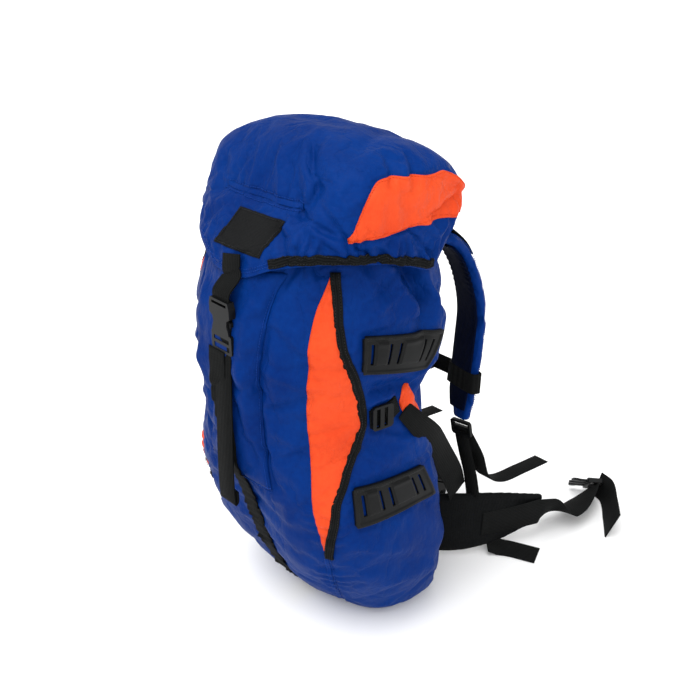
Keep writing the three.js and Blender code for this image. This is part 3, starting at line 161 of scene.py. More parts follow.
# Folds of the bag, mirrored on the other hand: two ends as angle and height share, half width, depth
BAG_FOLDS = [
    [79, 0.935, 91, 0.83, 0.012, -0.015], [91, 0.83, 88, 0.8, 0.012, -0.008],
    [88, 0.93, 97, 0.85, 0.01, 0.008], [70, 0.93, 82, 0.84, 0.01, 0.007],
    [57, 0.93, 63, 0.86, 0.008, 0.004], [60, 0.86, 72, 0.905, 0.006, -0.004],
    [64, 0.845, 78, 0.875, 0.004, 0.0035], [31, 0.94, 27, 0.9, 0.005, -0.006],
    [36, 0.94, 38, 0.9, 0.006, 0.005], [24, 0.92, 19, 0.83, 0.006, -0.005],
    [21, 0.8, 17, 0.66, 0.006, -0.005],
    [18, 0.66, 20.5, 0.52, 0.006, -0.006], [20.5, 0.52, 23, 0.45, 0.005, -0.005],
    [14, 0.84, 12, 0.7, 0.008, 0.005], [12, 0.7, 13, 0.56, 0.009, 0.005], [8, 0.62, 15, 0.5, 0.007, -0.004],
    [26, 0.8, 36, 0.745, 0.008, -0.004], [24, 0.72, 38, 0.7, 0.007, 0.004],
    [26, 0.64, 38, 0.665, 0.006, -0.004],
    [28, 0.58, 37, 0.56, 0.007, 0.003], [30, 0.52, 38, 0.54, 0.006, -0.003],
    [44, 0.74, 50, 0.735, 0.004, -0.0022], [43, 0.68, 52, 0.675, 0.004, -0.0022],
    [43, 0.585, 55, 0.6, 0.004, -0.0025], [44, 0.5, 50, 0.52, 0.004, -0.002],
    [44, 0.45, 48, 0.46, 0.004, -0.002],
    [66, 0.675, 90, 0.655, 0.007, -0.006], [64, 0.64, 76, 0.645, 0.006, 0.005],
    [70, 0.575, 84, 0.545, 0.006, -0.005], [76, 0.56, 92, 0.515, 0.006, 0.004],
    [62, 0.54, 72, 0.5, 0.006, 0.004],
    [88, 0.66, 100, 0.69, 0.008, 0.005], [102, 0.62, 116, 0.66, 0.01, -0.006],
    [100, 0.85, 118, 0.78, 0.012, -0.005],
    [56, 0.31, 74, 0.26, 0.01, 0.004], [60, 0.24, 84, 0.2, 0.012, -0.004], [70, 0.17, 92, 0.15, 0.012, 0.004],
    [92, 0.34, 108, 0.28, 0.012, -0.004], [100, 0.22, 118, 0.25, 0.014, 0.004],
    [8, 0.36, 34, 0.34, 0.01, -0.003],
    [12, 0.26, 36, 0.22, 0.012, 0.003], [6, 0.16, 34, 0.13, 0.012, -0.003],
]

# Folds of the bag on the wearer's left only, as above
LEFT_FOLDS = [[-46, 0.93, -48, 0.8, 0.012, 0.007]]

# Folds of the lid on the wearer's right: two ends as angle and level, half width, depth
LID_FOLDS = [
    [42, 0.78, 45, 0.55, 0.011, -0.008], [45, 0.55, 40, 0.43, 0.009, -0.006],
    [52, 0.74, 56, 0.5, 0.01, 0.006],
    [34, 0.76, 36, 0.56, 0.012, 0.005], [33, 0.48, 36, 0.36, 0.005, -0.005],
    [36, 0.36, 50, 0.25, 0.006, -0.005],
    [42, 0.3, 54, 0.14, 0.006, 0.005], [30, 0.3, 40, 0.12, 0.006, 0.005], [24, 0.3, 32, 0.08, 0.006, -0.005],
    [56, 0.3, 50, 0.5, 0.008, 0.004], [48, 0.42, 58, 0.2, 0.005, -0.004],
    [79, 0.7, 84, 0.8, 0.006, -0.005], [92, 0.7, 97, 0.8, 0.007, -0.006], [86, 0.72, 90, 0.82, 0.007, 0.005],
    [104, 0.4, 118, 0.3, 0.008, -0.007], [118, 0.5, 126, 0.36, 0.008, 0.005],
    [97, 0.34, 108, 0.24, 0.006, 0.005],
    [88, 0.28, 100, 0.12, 0.005, -0.005], [70, 0.18, 80, 0.06, 0.005, 0.004],
    [60, 0.14, 70, 0.04, 0.004, -0.004],
    [10, 0.72, 16, 0.56, 0.014, 0.003], [150, 0.7, 160, 0.3, 0.012, -0.004],
    [170, 0.65, 176, 0.3, 0.012, 0.004],
]


def wrap(angle):
    """Angle from the front on either hand, 0 to 180."""
    return np.abs((np.asarray(angle, float) + 180) % 360 - 180)


def step_up(x, low, high):
    t = np.clip((x - low) / (high - low), 0, 1)
    return t * t * (3 - 2 * t)


def bell(x, width):
    return np.exp(-((x / width) ** 2))


def section_radius(half, ahead, behind, front_square, back_square, angle):
    s = np.abs(np.sin(np.radians(angle)))
    c = np.cos(np.radians(angle))
    square = np.where(c > 0, front_square, back_square)
    depth = np.where(c > 0, ahead, behind)
    return ((s / half) ** square + (np.abs(c) / depth) ** square) ** (-1 / square)


def noise_field(places, scale, seed):
    """Smooth noise, about -1 to 1, over an array of places."""
    flat = places.reshape(-1, 3) / scale + seed
    return np.array([noise.noise(p) for p in flat.tolist()]).reshape(places.shape[:-1])


def ring_places(table, share, angle, z, relief):
    half, front, middle, back, front_square, back_square = smooth_rows(table, share)
    half = half * PACK_WIDTH / 2
    ahead = (middle - front) * PACK_DEPTH
    behind = (back - middle) * PACK_DEPTH
    radius = section_radius(half, ahead, behind, front_square, back_square, angle) + relief
    radius = np.maximum(radius, MM)
    turn = np.radians(angle)
    return np.stack([radius * np.sin(turn), middle * PACK_DEPTH - radius * np.cos(turn), z], -1)


def seam_lines(share):
    """Angles of the vertical seams of the bag at each height: the crescent's two edges."""
    seam, edge = smooth_rows(CRESCENT, share)
    return seam, edge


RADIUS_SCALE = 0.165 * math.pi / 180


def bag_relief(angle, z):
    share = z / BODY_HEIGHT
    turn = wrap(angle)
    relief = np.zeros(np.broadcast(angle, z).shape)
    for at, height, reach, rise, depth in DENTS:
        relief -= depth * bell(turn - at, reach) * bell(share - height, rise)
    seam, edge = seam_lines(share)
    ripple = np.sin(z / 0.0105 * math.tau / 2 + 3 * np.sin(z * 61))
    for line in (seam, edge):
        away = (turn - line) * RADIUS_SCALE
        relief -= 0.0016 * bell(away, 0.004)
        relief += 0.0009 * bell(away - 0.008, 0.007) * ripple
        relief += 0.0009 * bell(away + 0.008, 0.007) * ripple
    return relief


def folds(table, angle, rise):
    """Relief of a table of folds, each a line that fades at its ends, over angles and rises in metres."""
    across = angle * RADIUS_SCALE
    relief = np.zeros(across.shape)
    for a0, r0, a1, r1, width, depth in table:
        start = np.array([a0 * RADIUS_SCALE, r0])
        way = np.array([a1 * RADIUS_SCALE, r1]) - start
        length = np.linalg.norm(way)
        way = way / length
        along = (across - start[0]) * way[0] + (rise - start[1]) * way[1]
        aside = -(across - start[0]) * way[1] + (rise - start[1]) * way[0]
        beyond = np.maximum(np.maximum(-along, along - length), 0)
        relief += depth * bell(aside, width) * bell(beyond, width * 1.6)
    return relief


def in_metres(table, height):
    return [[a0, r0 * height, a1, r1 * height, width, depth] for a0, r0, a1, r1, width, depth in table]


def bag_places(angle, z):
    relief = bag_relief(angle, z) + folds(in_metres(BAG_FOLDS, BODY_HEIGHT), wrap(angle), z)
    signed = (np.asarray(angle, float) + 180) % 360 - 180
    relief = relief + folds(in_metres(LEFT_FOLDS, BODY_HEIGHT), signed, z)
    return ring_places(BODY, z / BODY_HEIGHT, angle, z, relief)


def hem_height(angle):
    return LID_BASE + smooth_rows(HEM, wrap(angle))[0] * LID_HEIGHT


# The gathers that pucker the lid's skirt and the crease of its front seam
GATHER = {"wave": 6.2, "depth": 0.0034, "reach": 0.2, "low": 30, "high": 122}
CREASE = {"height": 0.53, "reach": 0.035, "depth": 0.005, "half_angle": 38}


def lid_relief(angle, z):
    turn = wrap(angle)
    above = (z - hem_height(angle)) / LID_HEIGHT
    inside = step_up(turn, GATHER["low"] - 6, GATHER["low"] + 8)
    inside = inside * (1 - step_up(turn, GATHER["high"] - 8, GATHER["high"] + 8))
    fade = step_up(above, 0.02, 0.1) * (1 - step_up(above, 0.11, GATHER["reach"] + 0.05))
    wander = 2.4 * np.sin(turn * 0.31) + 1.3 * np.sin(above * 21 + turn * 0.17)
    pucker = GATHER["depth"] * inside * fade * np.sin((turn + wander) / GATHER["wave"] * math.tau)
    share = (z - LID_BASE) / LID_HEIGHT
    across = np.clip(1 - (turn / CREASE["half_angle"]) ** 2, 0, 1)
    crease = CREASE["depth"] * across * bell(share - CREASE["height"], CREASE["reach"])
    crown = 0.0035 * bell(share - 0.8, 0.07) * np.sin(np.radians(angle) * 5 + share * 9)
    side = 0.004 * bell(turn - 33, 5) * bell(share - 0.62, 0.16)
    left = (np.asarray(angle, float) + 180) % 360 < 180
    return pucker * np.where(left, 0.4, 1) - crease + crown - side


def lid_places(angle, level):
    hem = hem_height(angle)
    z = hem + level * (LID_BASE + LID_HEIGHT - hem)
    hand = np.where((np.asarray(angle, float) + 180) % 360 > 180, 1.0, 0.35)
    creases = folds(in_metres(LID_FOLDS, LID_HEIGHT), wrap(angle), level * LID_HEIGHT)
    relief = lid_relief(angle, z) + hand * creases
    return ring_places(LID, (z - LID_BASE) / LID_HEIGHT, angle, z, relief)


def cubic_weights(t):
    return [
        -0.5 * t + t**2 - 0.5 * t**3,
        1 - 2.5 * t**2 + 1.5 * t**3,
        0.5 * t + 2 * t**2 - 1.5 * t**3,
        -0.5 * t**2 + 0.5 * t**3,
    ]


class Skin:
    """A soft surface over angle from the front and level, which the pieces laid on it follow."""

    def __init__(self, places, levels, columns):
        angle = np.arange(columns) * 360 / columns
        self.levels = np.asarray(levels, float)
        self.angle, self.level = np.meshgrid(angle, self.levels)
        self.settle(places(self.angle, self.level))

    def settle(self, grid):
        self.grid = grid
        across = np.roll(grid, -1, 1) - np.roll(grid, 1, 1)
        normal = np.cross(across, np.gradient(grid, axis=0))
        self.normals = normal / np.maximum(np.linalg.norm(normal, axis=2, keepdims=True), 1e-12)

    def at(self, angle, level, lift=0.0):
        """Places on the surface, lifted from it along its normal."""
        angle, level, lift = np.broadcast_arrays(*(np.asarray(x, float) for x in (angle, level, lift)))
        rows, columns = self.grid.shape[:2]
        c = (angle % 360) / 360 * columns
        r = np.interp(level, self.levels, np.arange(rows))
        c0 = np.floor(c).astype(int)
        r0 = np.clip(np.floor(r).astype(int), 0, rows - 2)
        place = np.zeros(angle.shape + (3,))
        normal = np.zeros(angle.shape + (3,))
        for i, row_weight in enumerate(cubic_weights(r - r0)):
            for j, column_weight in enumerate(cubic_weights(c - c0)):
                weight = (row_weight * column_weight)[..., None]
                at = (np.clip(r0 + i - 1, 0, rows - 1), (c0 + j - 1) % columns)
                place += weight * self.grid[at]
                normal += weight * self.normals[at]
        normal /= np.linalg.norm(normal, axis=-1, keepdims=True)
        return place + normal * lift[..., None]

    def normal(self, angle, level):
        return self.at(angle, level, 1.0) - self.at(angle, level, 0.0)


def grid_faces(rows, columns, closed=False):
    r, c = np.meshgrid(np.arange(rows - 1), np.arange(columns if closed else columns - 1), indexing="ij")
    here, after = r * columns + c, r * columns + (c + 1) % columns
    return np.stack([here, after, after + columns, here + columns], -1)


def mesh_object(name, points, faces, material, uvs=None):
    mesh = bpy.data.meshes.new(name)
    if not isinstance(faces, list):
        faces = faces.reshape(-1, 4).tolist()
    mesh.from_pydata(np.asarray(points).reshape(-1, 3).tolist(), [], faces)
    if uvs is not None:
        loops = np.zeros(len(mesh.loops), int)
        mesh.loops.foreach_get("vertex_index", loops)
        layer = mesh.uv_layers.new(name="UVMap")
        layer.data.foreach_set("uv", np.asarray(uvs).reshape(-1, 2)[loops].ravel())
    mesh.polygons.foreach_set("use_smooth", np.ones(len(mesh.polygons), bool))
    made = bpy.data.objects.new(name, mesh)
    bpy.context.scene.collection.objects.link(made)
    if material is not None:
        mesh.materials.append(material)
    return made


def finish_piece(piece, slot, *nodes):
    """Rides the piece on the one body, in place of its CAD nodes."""
    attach(piece, "root")
    if nodes:
        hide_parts(*nodes)
    return piece


def solidify(piece, thick, offset=-1.0):
    modifier = piece.modifiers.new("wall", "SOLIDIFY")
    modifier.thickness = thick
    modifier.offset = offset
    return piece


def bevel(piece, width, segments=2):
    modifier = piece.modifiers.new("edge", "BEVEL")
    modifier.width = width
    modifier.segments = segments
    modifier.limit_method = "ANGLE"
    modifier.angle_limit = math.radians(28)
    modifier.harden_normals = False
    return piece


def both_sides(make):
    for side, hand in ((1, "right"), (-1, "left")):
        make(side, hand)


# Materials
class Look:
    """A material with its nodes, its links and its shader."""

    def __init__(self, name):
        self.material = bpy.data.materials.new(name)
        self.material.use_nodes = True
        self.nodes = self.material.node_tree.nodes
        self.links = self.material.node_tree.links
        self.shader = self.nodes["Principled BSDF"]


def coordinates(look, kind, scale):
    source = look.nodes.new("ShaderNodeTexCoord")
    mapping = look.nodes.new("ShaderNodeMapping")
    mapping.inputs["Scale"].default_value = scale
    look.links.new(source.outputs[kind], mapping.inputs["Vector"])
    return mapping.outputs["Vector"]


def math_node(look, operation, a, b):
    node = look.nodes.new("ShaderNodeMath")
    node.operation = operation
    for socket, value in zip(node.inputs, (a, b)):
        if isinstance(value, (int, float)):
            socket.default_value = value
        else:
            look.links.new(value, socket)
    return node.outputs[0]


def blend(look, first, share, second):
    """A mix of two heights or tones by the share of the first."""
    return math_node(look, "ADD", math_node(look, "MULTIPLY", first, share),
                     math_node(look, "MULTIPLY", second, round(1 - share, 2)))


def noise_node(look, vector, scale, detail=3.0, rough=0.55):
    node = look.nodes.new("ShaderNodeTexNoise")
    node.inputs["Scale"].default_value = scale
    node.inputs["Detail"].default_value = detail
    node.inputs["Roughness"].default_value = rough
    look.links.new(vector, node.inputs["Vector"])
    return node.outputs["Fac"]


def wave_node(look, vector, scale, direction, distortion=0.6):
    node = look.nodes.new("ShaderNodeTexWave")
    node.bands_direction = direction
    node.inputs["Scale"].default_value = scale
    node.inputs["Distortion"].default_value = distortion
    node.inputs["Detail"].default_value = 1.0
    node.inputs["Detail Scale"].default_value = 3.0
    look.links.new(vector, node.inputs["Vector"])
    return node.outputs["Fac"]


def ramp(look, factor, stops):
    node = look.nodes.new("ShaderNodeValToRGB")
    elements = node.color_ramp.elements
    while len(elements) < len(stops):
        elements.new(0.5)
    for element, (at, colour) in zip(elements, stops):
        element.position = at
        element.color = (*colour, 1)
    look.links.new(factor, node.inputs["Fac"])
    return node.outputs["Color"]


def bump(look, heights):
    """A chain of bumps, coarse to fine, into the shader: (height output, depth in metres, strength)."""
    previous = None
    for height, depth, strength in heights:
        node = look.nodes.new("ShaderNodeBump")
        node.inputs["Distance"].default_value = depth
        node.inputs["Strength"].default_value = strength
        look.links.new(height, node.inputs["Height"])
        if previous is not None:
            look.links.new(previous, node.inputs["Normal"])
        previous = node.outputs["Normal"]
    look.links.new(previous, look.shader.inputs["Normal"])


def paint(look, tone, stops, grain, rough, level):
    """Colour along a ramp of stops, roughness between two values, and the strength of reflection."""
    look.links.new(ramp(look, tone, stops), look.shader.inputs["Base Color"])
    node = look.nodes.new("ShaderNodeMapRange")
    node.inputs["To Min"].default_value = rough[0]
    node.inputs["To Max"].default_value = rough[1]
    look.links.new(grain, node.inputs["Value"])
    look.links.new(node.outputs["Result"], look.shader.inputs["Roughness"])
    look.shader.inputs["Specular IOR Level"].default_value = level


def woven(name, colour, worn_and_lit_tone, rough, level, thread=0.00042, kind="UV"):
    """Coated cloth: a fine weave of two crossing threads over soft crumples, with painted crumple shading
    where noise clouds blend a shaded and a lit tone of the cloth.
    """
    look = Look(name)
    metres = coordinates(look, "Object", (1, 1, 1))
    flat = coordinates(look, kind, (1, 1, 1))
    threads = 1 / thread / math.tau
    warp = wave_node(look, flat, threads, "X")
    weft = wave_node(look, flat, threads, "Y")
    weave = math_node(look, "MULTIPLY", warp, weft)
    soft = noise_node(look, metres, 38, 4)
    fine = noise_node(look, metres, 160, 3)
    cloudy = noise_node(look, metres, 9, 2)
    # Painted crumple shading: noise clouds, with a little fine grain, blend the shaded colour with the paler
    # painted lit tone
    painted_crumple_shade = blend(look, cloudy, 0.7, fine)
    paint(look, painted_crumple_shade, [(0.3, colour), (0.72, worn_and_lit_tone)], fine, (rough - 0.07, rough + 0.08), level)
    stretched = coordinates(look, "Object", (1.0, 1.0, 0.55))
    rumple = noise_node(look, stretched, 17, 5, 0.5)
    valley = math_node(look, "ABSOLUTE", math_node(look, "SUBTRACT", rumple, 0.5), 0)
    ridge = math_node(look, "POWER", valley, 0.6)
    bump(look, [(ridge, 0.0096, 0.6), (soft, 0.003, 0.5), (fine, 0.0006, 0.35), (weave, 0.00012, 0.5)])
    return look.material


def webbing(name, colour, worn_and_lit_tone, rib=0.0016):
    """Woven tape: ribs along its length crossed by the weft, with a fuzzy dull surface."""
    look = Look(name)
    metres = coordinates(look, "Object", (1, 1, 1))
    flat = coordinates(look, "UV", (1, 1, 1))
    ribs = wave_node(look, flat, 1 / rib / math.tau, "X", 0.3)
    weft = wave_node(look, flat, 1 / (rib * 0.55) / math.tau, "DIAGONAL", 0.4)
    fuzz = noise_node(look, metres, 700, 3)
    cloudy = noise_node(look, metres, 30, 3)
    tone = blend(look, ribs, 0.55, cloudy)
    paint(look, tone, [(0.15, colour), (0.85, worn_and_lit_tone)], fuzz, (0.62, 0.85), 0.04)
    bump(look, [(ribs, 0.00035, 0.7), (weft, 0.00018, 0.6), (fuzz, 0.0001, 0.3)])
    return look.material


def mesh_cloth(name, colour, worn_and_lit_tone, cell=0.0021):
    """Spacer mesh and padded cloth: rows of small cells over a soft ground."""
    look = Look(name)
    metres = coordinates(look, "Object", (1, 1, 1))
    cells = look.nodes.new("ShaderNodeTexVoronoi")
    cells.inputs["Scale"].default_value = 1 / cell
    cells.inputs["Randomness"].default_value = 0.35
    look.links.new(metres, cells.inputs["Vector"])
    soft = noise_node(look, metres, 45, 4)
    fuzz = noise_node(look, metres, 520, 3)
    tone = blend(look, cells.outputs["Distance"], 0.7, soft)
    paint(look, tone, [(0.2, colour), (0.75, worn_and_lit_tone)], fuzz, (0.7, 0.95), 0.04)
    bump(look, [(soft, 0.0027, 0.5), (cells.outputs["Distance"], 0.0005, 0.6)])
    return look.material


def moulded(name, colour, worn_and_lit_tone, rough, grain=0.0006):
    """Moulded plastic or rubber: fine spark grain, scuffed paler in places by noise."""
    look = Look(name)
    metres = coordinates(look, "Object", (1, 1, 1))
    grit = noise_node(look, metres, 1 / grain, 2)
    scuff = noise_node(look, metres, 55, 5, 0.7)
    paint(look, scuff, [(0.42, colour), (0.78, worn_and_lit_tone)], scuff, (rough - 0.08, rough + 0.12), 0.12)
    bump(look, [(scuff, 0.0003, 0.05), (grit, 0.00006, 0.25)])
    return look.material


# For each woven look the first colour is a shaded tone and the second a painted lit tone, blended by noise as
# painted crumple shading
LOOKS = {
    "blue_nylon": woven("blue_nylon", (0.0004, 0.014, 0.108), (0.001, 0.028, 0.172), 0.46, 0.035),
    "orange_nylon": woven("orange_nylon", (0.55, 0.04, 0.007), (0.68, 0.07, 0.016), 0.5, 0.1),
    "black_webbing": webbing("black_webbing", (0.003, 0.0033, 0.0033), (0.009, 0.0094, 0.0094)),
    "black_padding": mesh_cloth("black_padding", (0.0022, 0.0025, 0.0027), (0.007, 0.0074, 0.0078)),
    "navy_lining": mesh_cloth("navy_lining", (0.0005, 0.0015, 0.007), (0.0014, 0.004, 0.02), 0.0026),
    "black_plastic": moulded("black_plastic", (0.003, 0.0033, 0.0036), (0.008, 0.0084, 0.0088), 0.36),
    "black_rubber": moulded("black_rubber", (0.0035, 0.0038, 0.004), (0.0065, 0.0068, 0.007), 0.45),
}
# Shaded tone and painted lit tone of the strap nylon, blended by noise as painted crumple shading
STRAP_BLUE = woven("strap_blue", (0.0004, 0.015, 0.11), (0.001, 0.028, 0.17), 0.5, 0.03,
                   thread=0.0006, kind="Object")
THREAD = moulded("thread", (0.012, 0.0125, 0.013), (0.03, 0.031, 0.033), 0.6)
BLUE_THREAD = moulded("blue_thread", (0.002, 0.03, 0.2), (0.006, 0.06, 0.34), 0.5)
LABEL_LOOK = webbing("label_weave", (0.005, 0.0052, 0.0055), (0.014, 0.0145, 0.015), 0.0006)


# Soft surfaces that settle between the seams that hold them
def cloth_settings(piece, frames, pressure, stiffness, bending):
    modifier = piece.modifiers.new("cloth", "CLOTH")
    settings = modifier.settings
    settings.quality = 5
    settings.mass = 0.25
    settings.tension_stiffness = stiffness
    settings.compression_stiffness = stiffness
    settings.shear_stiffness = stiffness / 3
    settings.bending_stiffness = bending
    settings.air_damping = 3
    settings.effector_weights.gravity = 0
    settings.use_pressure = pressure > 0
    settings.uniform_pressure_force = pressure
    modifier.collision_settings.use_collision = False
    modifier.point_cache.frame_start = 1
    modifier.point_cache.frame_end = frames
    return modifier


def run_cloth(piece, frames):
    """The vertices of a piece after its cloth has run."""
    for step in range(1, frames + 1):
        bpy.context.scene.frame_set(step)
    result = piece.evaluated_get(bpy.context.evaluated_depsgraph_get()).to_mesh()
    co = np.zeros(len(result.vertices) * 3)
    result.vertices.foreach_get("co", co)
    bpy.context.scene.frame_set(1)
    return co.reshape(-1, 3)


def settle_skin(skin, held, growth, pressure, cap, frames=16, bending=0.6):
    """Lets the cloth of a skin, cut a little too large, buckle between the places where it is held."""
    rows, columns = skin.grid.shape[:2]
    piece = mesh_object("settling", skin.grid, grid_faces(rows, columns, closed=True), None)
    group = piece.vertex_groups.new(name="held")
    for index, weight in enumerate(held.ravel().tolist()):
        if weight > 0.01:
            group.add([index], weight, "REPLACE")
    modifier = cloth_settings(piece, frames, pressure, 12, bending)
    modifier.settings.vertex_group_mass = "held"
    modifier.settings.pin_stiffness = 1
    modifier.settings.shrink_min = -growth
    moved = run_cloth(piece, frames).reshape(skin.grid.shape) - skin.grid
    bpy.data.objects.remove(piece)
    reach = np.linalg.norm(moved, axis=2, keepdims=True)
    skin.settle(skin.grid + moved * np.minimum(1, cap / np.maximum(reach, 1e-9)))


# Placing things on a skin
def laid(name, node, slot, skin, angle, level, high, crown=0.0, look=None):
    """A closed sheet in place of a node, laid on a skin over a grid of angles and levels up to a height."""
    low = LAID_GAP
    rows, columns = angle.shape
    v = np.linspace(-1, 1, rows)[:, None]
    u = np.linspace(-1, 1, columns)[None, :]
    edge = np.minimum(1 - np.abs(u) ** 8, 1 - np.abs(v) ** 8)
    top = skin.at(angle, level, low + (high - low) * (0.35 + 0.65 * edge) + crown * (1 - u**2) * (1 - v**2))
    bottom = skin.at(angle, level, low)
    across = np.cumsum(np.linalg.norm(np.diff(top, axis=1), axis=2), 1)
    width = np.concatenate([np.zeros((rows, 1)), across], 1)
    upward = np.cumsum(np.linalg.norm(np.diff(top, axis=0), axis=2), 0)
    height = np.concatenate([np.zeros((1, columns)), upward], 0)
    faces = [grid_faces(rows, columns).reshape(-1, 4)]
    faces.append(grid_faces(rows, columns).reshape(-1, 4)[:, ::-1] + rows * columns)
    ring = [*range(columns), *(r * columns + columns - 1 for r in range(1, rows)),
            *((rows - 1) * columns + c for c in range(columns - 2, -1, -1)),
            *(r * columns for r in range(rows - 2, 0, -1))]
    after = ring[1:] + ring[:1]
    faces.append(np.array([[b, a, a + rows * columns, b + rows * columns] for a, b in zip(ring, after)]))
    uvs = np.stack([width, height], -1)
    points = np.concatenate([top.reshape(-1, 3), bottom.reshape(-1, 3)])
    both = np.concatenate([uvs, uvs]).reshape(-1, 2)
    piece = mesh_object(name, points, np.concatenate(faces), look or LOOKS[slot], both)
    return finish_piece(piece, slot, node)


def hand_grid(side, first, last, low, high, rows, columns):
    """Grid of angles and levels between two edges that change with the level, on either hand."""
    level = np.linspace(low, high, rows)
    from_edge, to_edge = first(level), last(level)
    t = np.linspace(0, 1, columns)[None, :]
    angle = from_edge[:, None] * (1 - t) + to_edge[:, None] * t
    if side < 0:
        angle = -angle[:, ::-1]
    return angle, np.repeat(level[:, None], columns, 1)


TAPE = [(-1, 0), (-0.97, 0.75), (-0.86, 1), (-0.5, 1.06), (0, 1.1),
        (0.5, 1.06), (0.86, 1), (0.97, 0.75), (1, 0)]


def swept(name, centres, across, out, width, thick, material, profile, shares=None):
    """A solid band swept through centres: profile holds shares of the half width and of the thickness."""
    count, sides = len(centres), len(profile)
    shares = np.ones(count) if shares is None else shares
    u = np.array([p[0] for p in profile]) * width / 2
    v = np.array([p[1] for p in profile]) * thick
    points = (centres[:, None] + across[:, None] * (u[None, :, None] * shares[:, None, None])
              + out[:, None] * v[None, :, None])
    length = np.concatenate([[0], np.cumsum(np.linalg.norm(np.diff(centres, axis=0), axis=1))])
    uvs = np.stack([np.broadcast_to(u, (count, sides)), np.broadcast_to(length[:, None], (count, sides))], -1)
    faces = grid_faces(count, sides, closed=True).reshape(-1, 4).tolist()
    made = points.reshape(-1, 3).tolist()
    flat = uvs.reshape(-1, 2).tolist()
    for first, flip in ((0, False), ((count - 1) * sides, True)):
        centre = len(made)
        made.append(points[0 if first == 0 else -1].mean(0).tolist())
        flat.append([0, 0])
        for i in range(sides):
            a, b = first + i, first + (i + 1) % sides
            faces.append([centre, a, b] if flip else [centre, b, a])
    return mesh_object(name, made, faces, material, flat)


def normalised(vectors):
    return vectors / np.maximum(np.linalg.norm(vectors, axis=-1, keepdims=True), 1e-12)


def tape_on(name, node, skin, angle, level, width, lift, thick, slot="black_webbing"):
    """A tape in place of a node, if there is one, that lies on a skin along a line of angles and levels."""
    centres = skin.at(angle, level, lift)
    out = skin.normal(angle, level)
    along = normalised(np.gradient(centres, axis=0))
    across = normalised(np.cross(along, out))
    piece = swept(name, centres, across, out, width, thick, LOOKS[slot], TAPE[::-1])
    finish_piece(piece, slot, *([node] if node else []))


WEB = [(-1, -0.3), (-0.985, -0.5), (0.985, -0.5), (1, -0.3), (1, 0.3), (0.985, 0.5), (-0.985, 0.5), (-1, 0.3)]


def smooth_line(points, count):
    """Evenly spaced places along a smooth curve through points."""
    points = np.asarray(points, float)
    ends = [2 * points[0] - points[1], *points, 2 * points[-1] - points[-2]]
    places = []
    for p0, p1, p2, p3 in zip(ends, ends[1:], ends[2:], ends[3:]):
        d0, d1, d2 = (max(np.linalg.norm(b - a) ** 0.5, 1e-4) for a, b in ((p0, p1), (p1, p2), (p2, p3)))
        m1 = ((p1 - p0) / d0 - (p2 - p0) / (d0 + d1) + (p2 - p1) / d1) * d1
        m2 = ((p2 - p1) / d1 - (p3 - p1) / (d1 + d2) + (p3 - p2) / d2) * d1
        t = np.linspace(0, 1, 40, endpoint=False)[:, None]
        rise = 3 * t**2 - 2 * t**3
        places.append(p1 * (1 - rise) + p2 * rise + m1 * (t**3 - 2 * t**2 + t) + m2 * (t**3 - t**2))
    places = np.concatenate([*places, points[-1:]])
    length = np.concatenate([[0], np.cumsum(np.linalg.norm(np.diff(places, axis=0), axis=1))])
    even = np.linspace(0, length[-1], count)
    return np.stack([np.interp(even, length, places[:, k]) for k in range(3)], -1)


def band_frame(points, hint, changes, count):
    centres = smooth_line(points, count)
    along = normalised(np.gradient(centres, axis=0))
    hint = np.asarray(hint, float)
    across = normalised(hint - (along @ hint)[:, None] * along)
    at = np.linspace(0, 1, count)
    twist, shares = straight_rows(changes, at)
    turn = np.radians(twist)[:, None]
    across = across * np.cos(turn) + np.cross(along, across) * np.sin(turn)
    return centres, across, np.cross(across, along), shares


def band(name, node, points, width, hint=(1, 0, 0), changes=((0, 0, 1), (1, 0, 1)), count=48):
    """Webbing in place of a node; rows of changes hold place along, twist in degrees, share of the width."""
    centres, across, out, shares = band_frame(points, hint, changes, count)
    piece = swept(name, centres, across, out, width, WEB_THICK, LOOKS["black_webbing"], WEB, shares)
    finish_piece(piece, "black_webbing", node)


def stitches(name, lines, material, pitch=0.0034, dash=0.0023, proud=0.0004, slot="black_webbing"):
    """Rows of small stitches: each line is a pair of arrays, places and outward normals."""
    corners = np.array([[-1, -1, -1], [1, -1, -1], [1, 1, -1], [-1, 1, -1],
                        [-0.8, -0.6, 1], [0.8, -0.6, 1], [0.8, 0.6, 1], [-0.8, 0.6, 1]])
    block = np.array([[3, 2, 1, 0], [4, 5, 6, 7], [0, 1, 5, 4], [1, 2, 6, 5], [2, 3, 7, 6], [3, 0, 4, 7]])
    wide = 0.0007
    points, faces = [], []
    for places, normals in lines:
        length = np.concatenate([[0], np.cumsum(np.linalg.norm(np.diff(places, axis=0), axis=1))])
        at = np.arange(pitch / 2, length[-1], pitch)
        centre = np.stack([np.interp(at, length, places[:, k]) for k in range(3)], -1)
        out = normalised(np.stack([np.interp(at, length, normals[:, k]) for k in range(3)], -1))
        slope = np.gradient(places, axis=0)
        along = normalised(np.stack([np.interp(at, length, slope[:, k]) for k in range(3)], -1))
        side = np.cross(out, along)
        for c, a, s, o in zip(centre, along, side, out):
            faces.append(block + 8 * len(points))
            points.append(c + corners[:, :1] * a * dash / 2 + corners[:, 1:2] * s * wide / 2
                          + corners[:, 2:] * o * proud)
    finish_piece(mesh_object(name, np.concatenate(points), np.concatenate(faces), material), slot)


def skin_line(skin, angle, level, lift):
    angle, level = np.broadcast_arrays(np.asarray(angle, float), np.asarray(level, float))
    return skin.at(angle, level, lift), skin.normal(angle, level)


# The bag
bag = Skin(bag_places, np.linspace(0, BODY_HEIGHT, 124), 220)
LID_CROWN = 0.985
lid = Skin(lid_places, np.linspace(0, LID_CROWN, 84), 240)

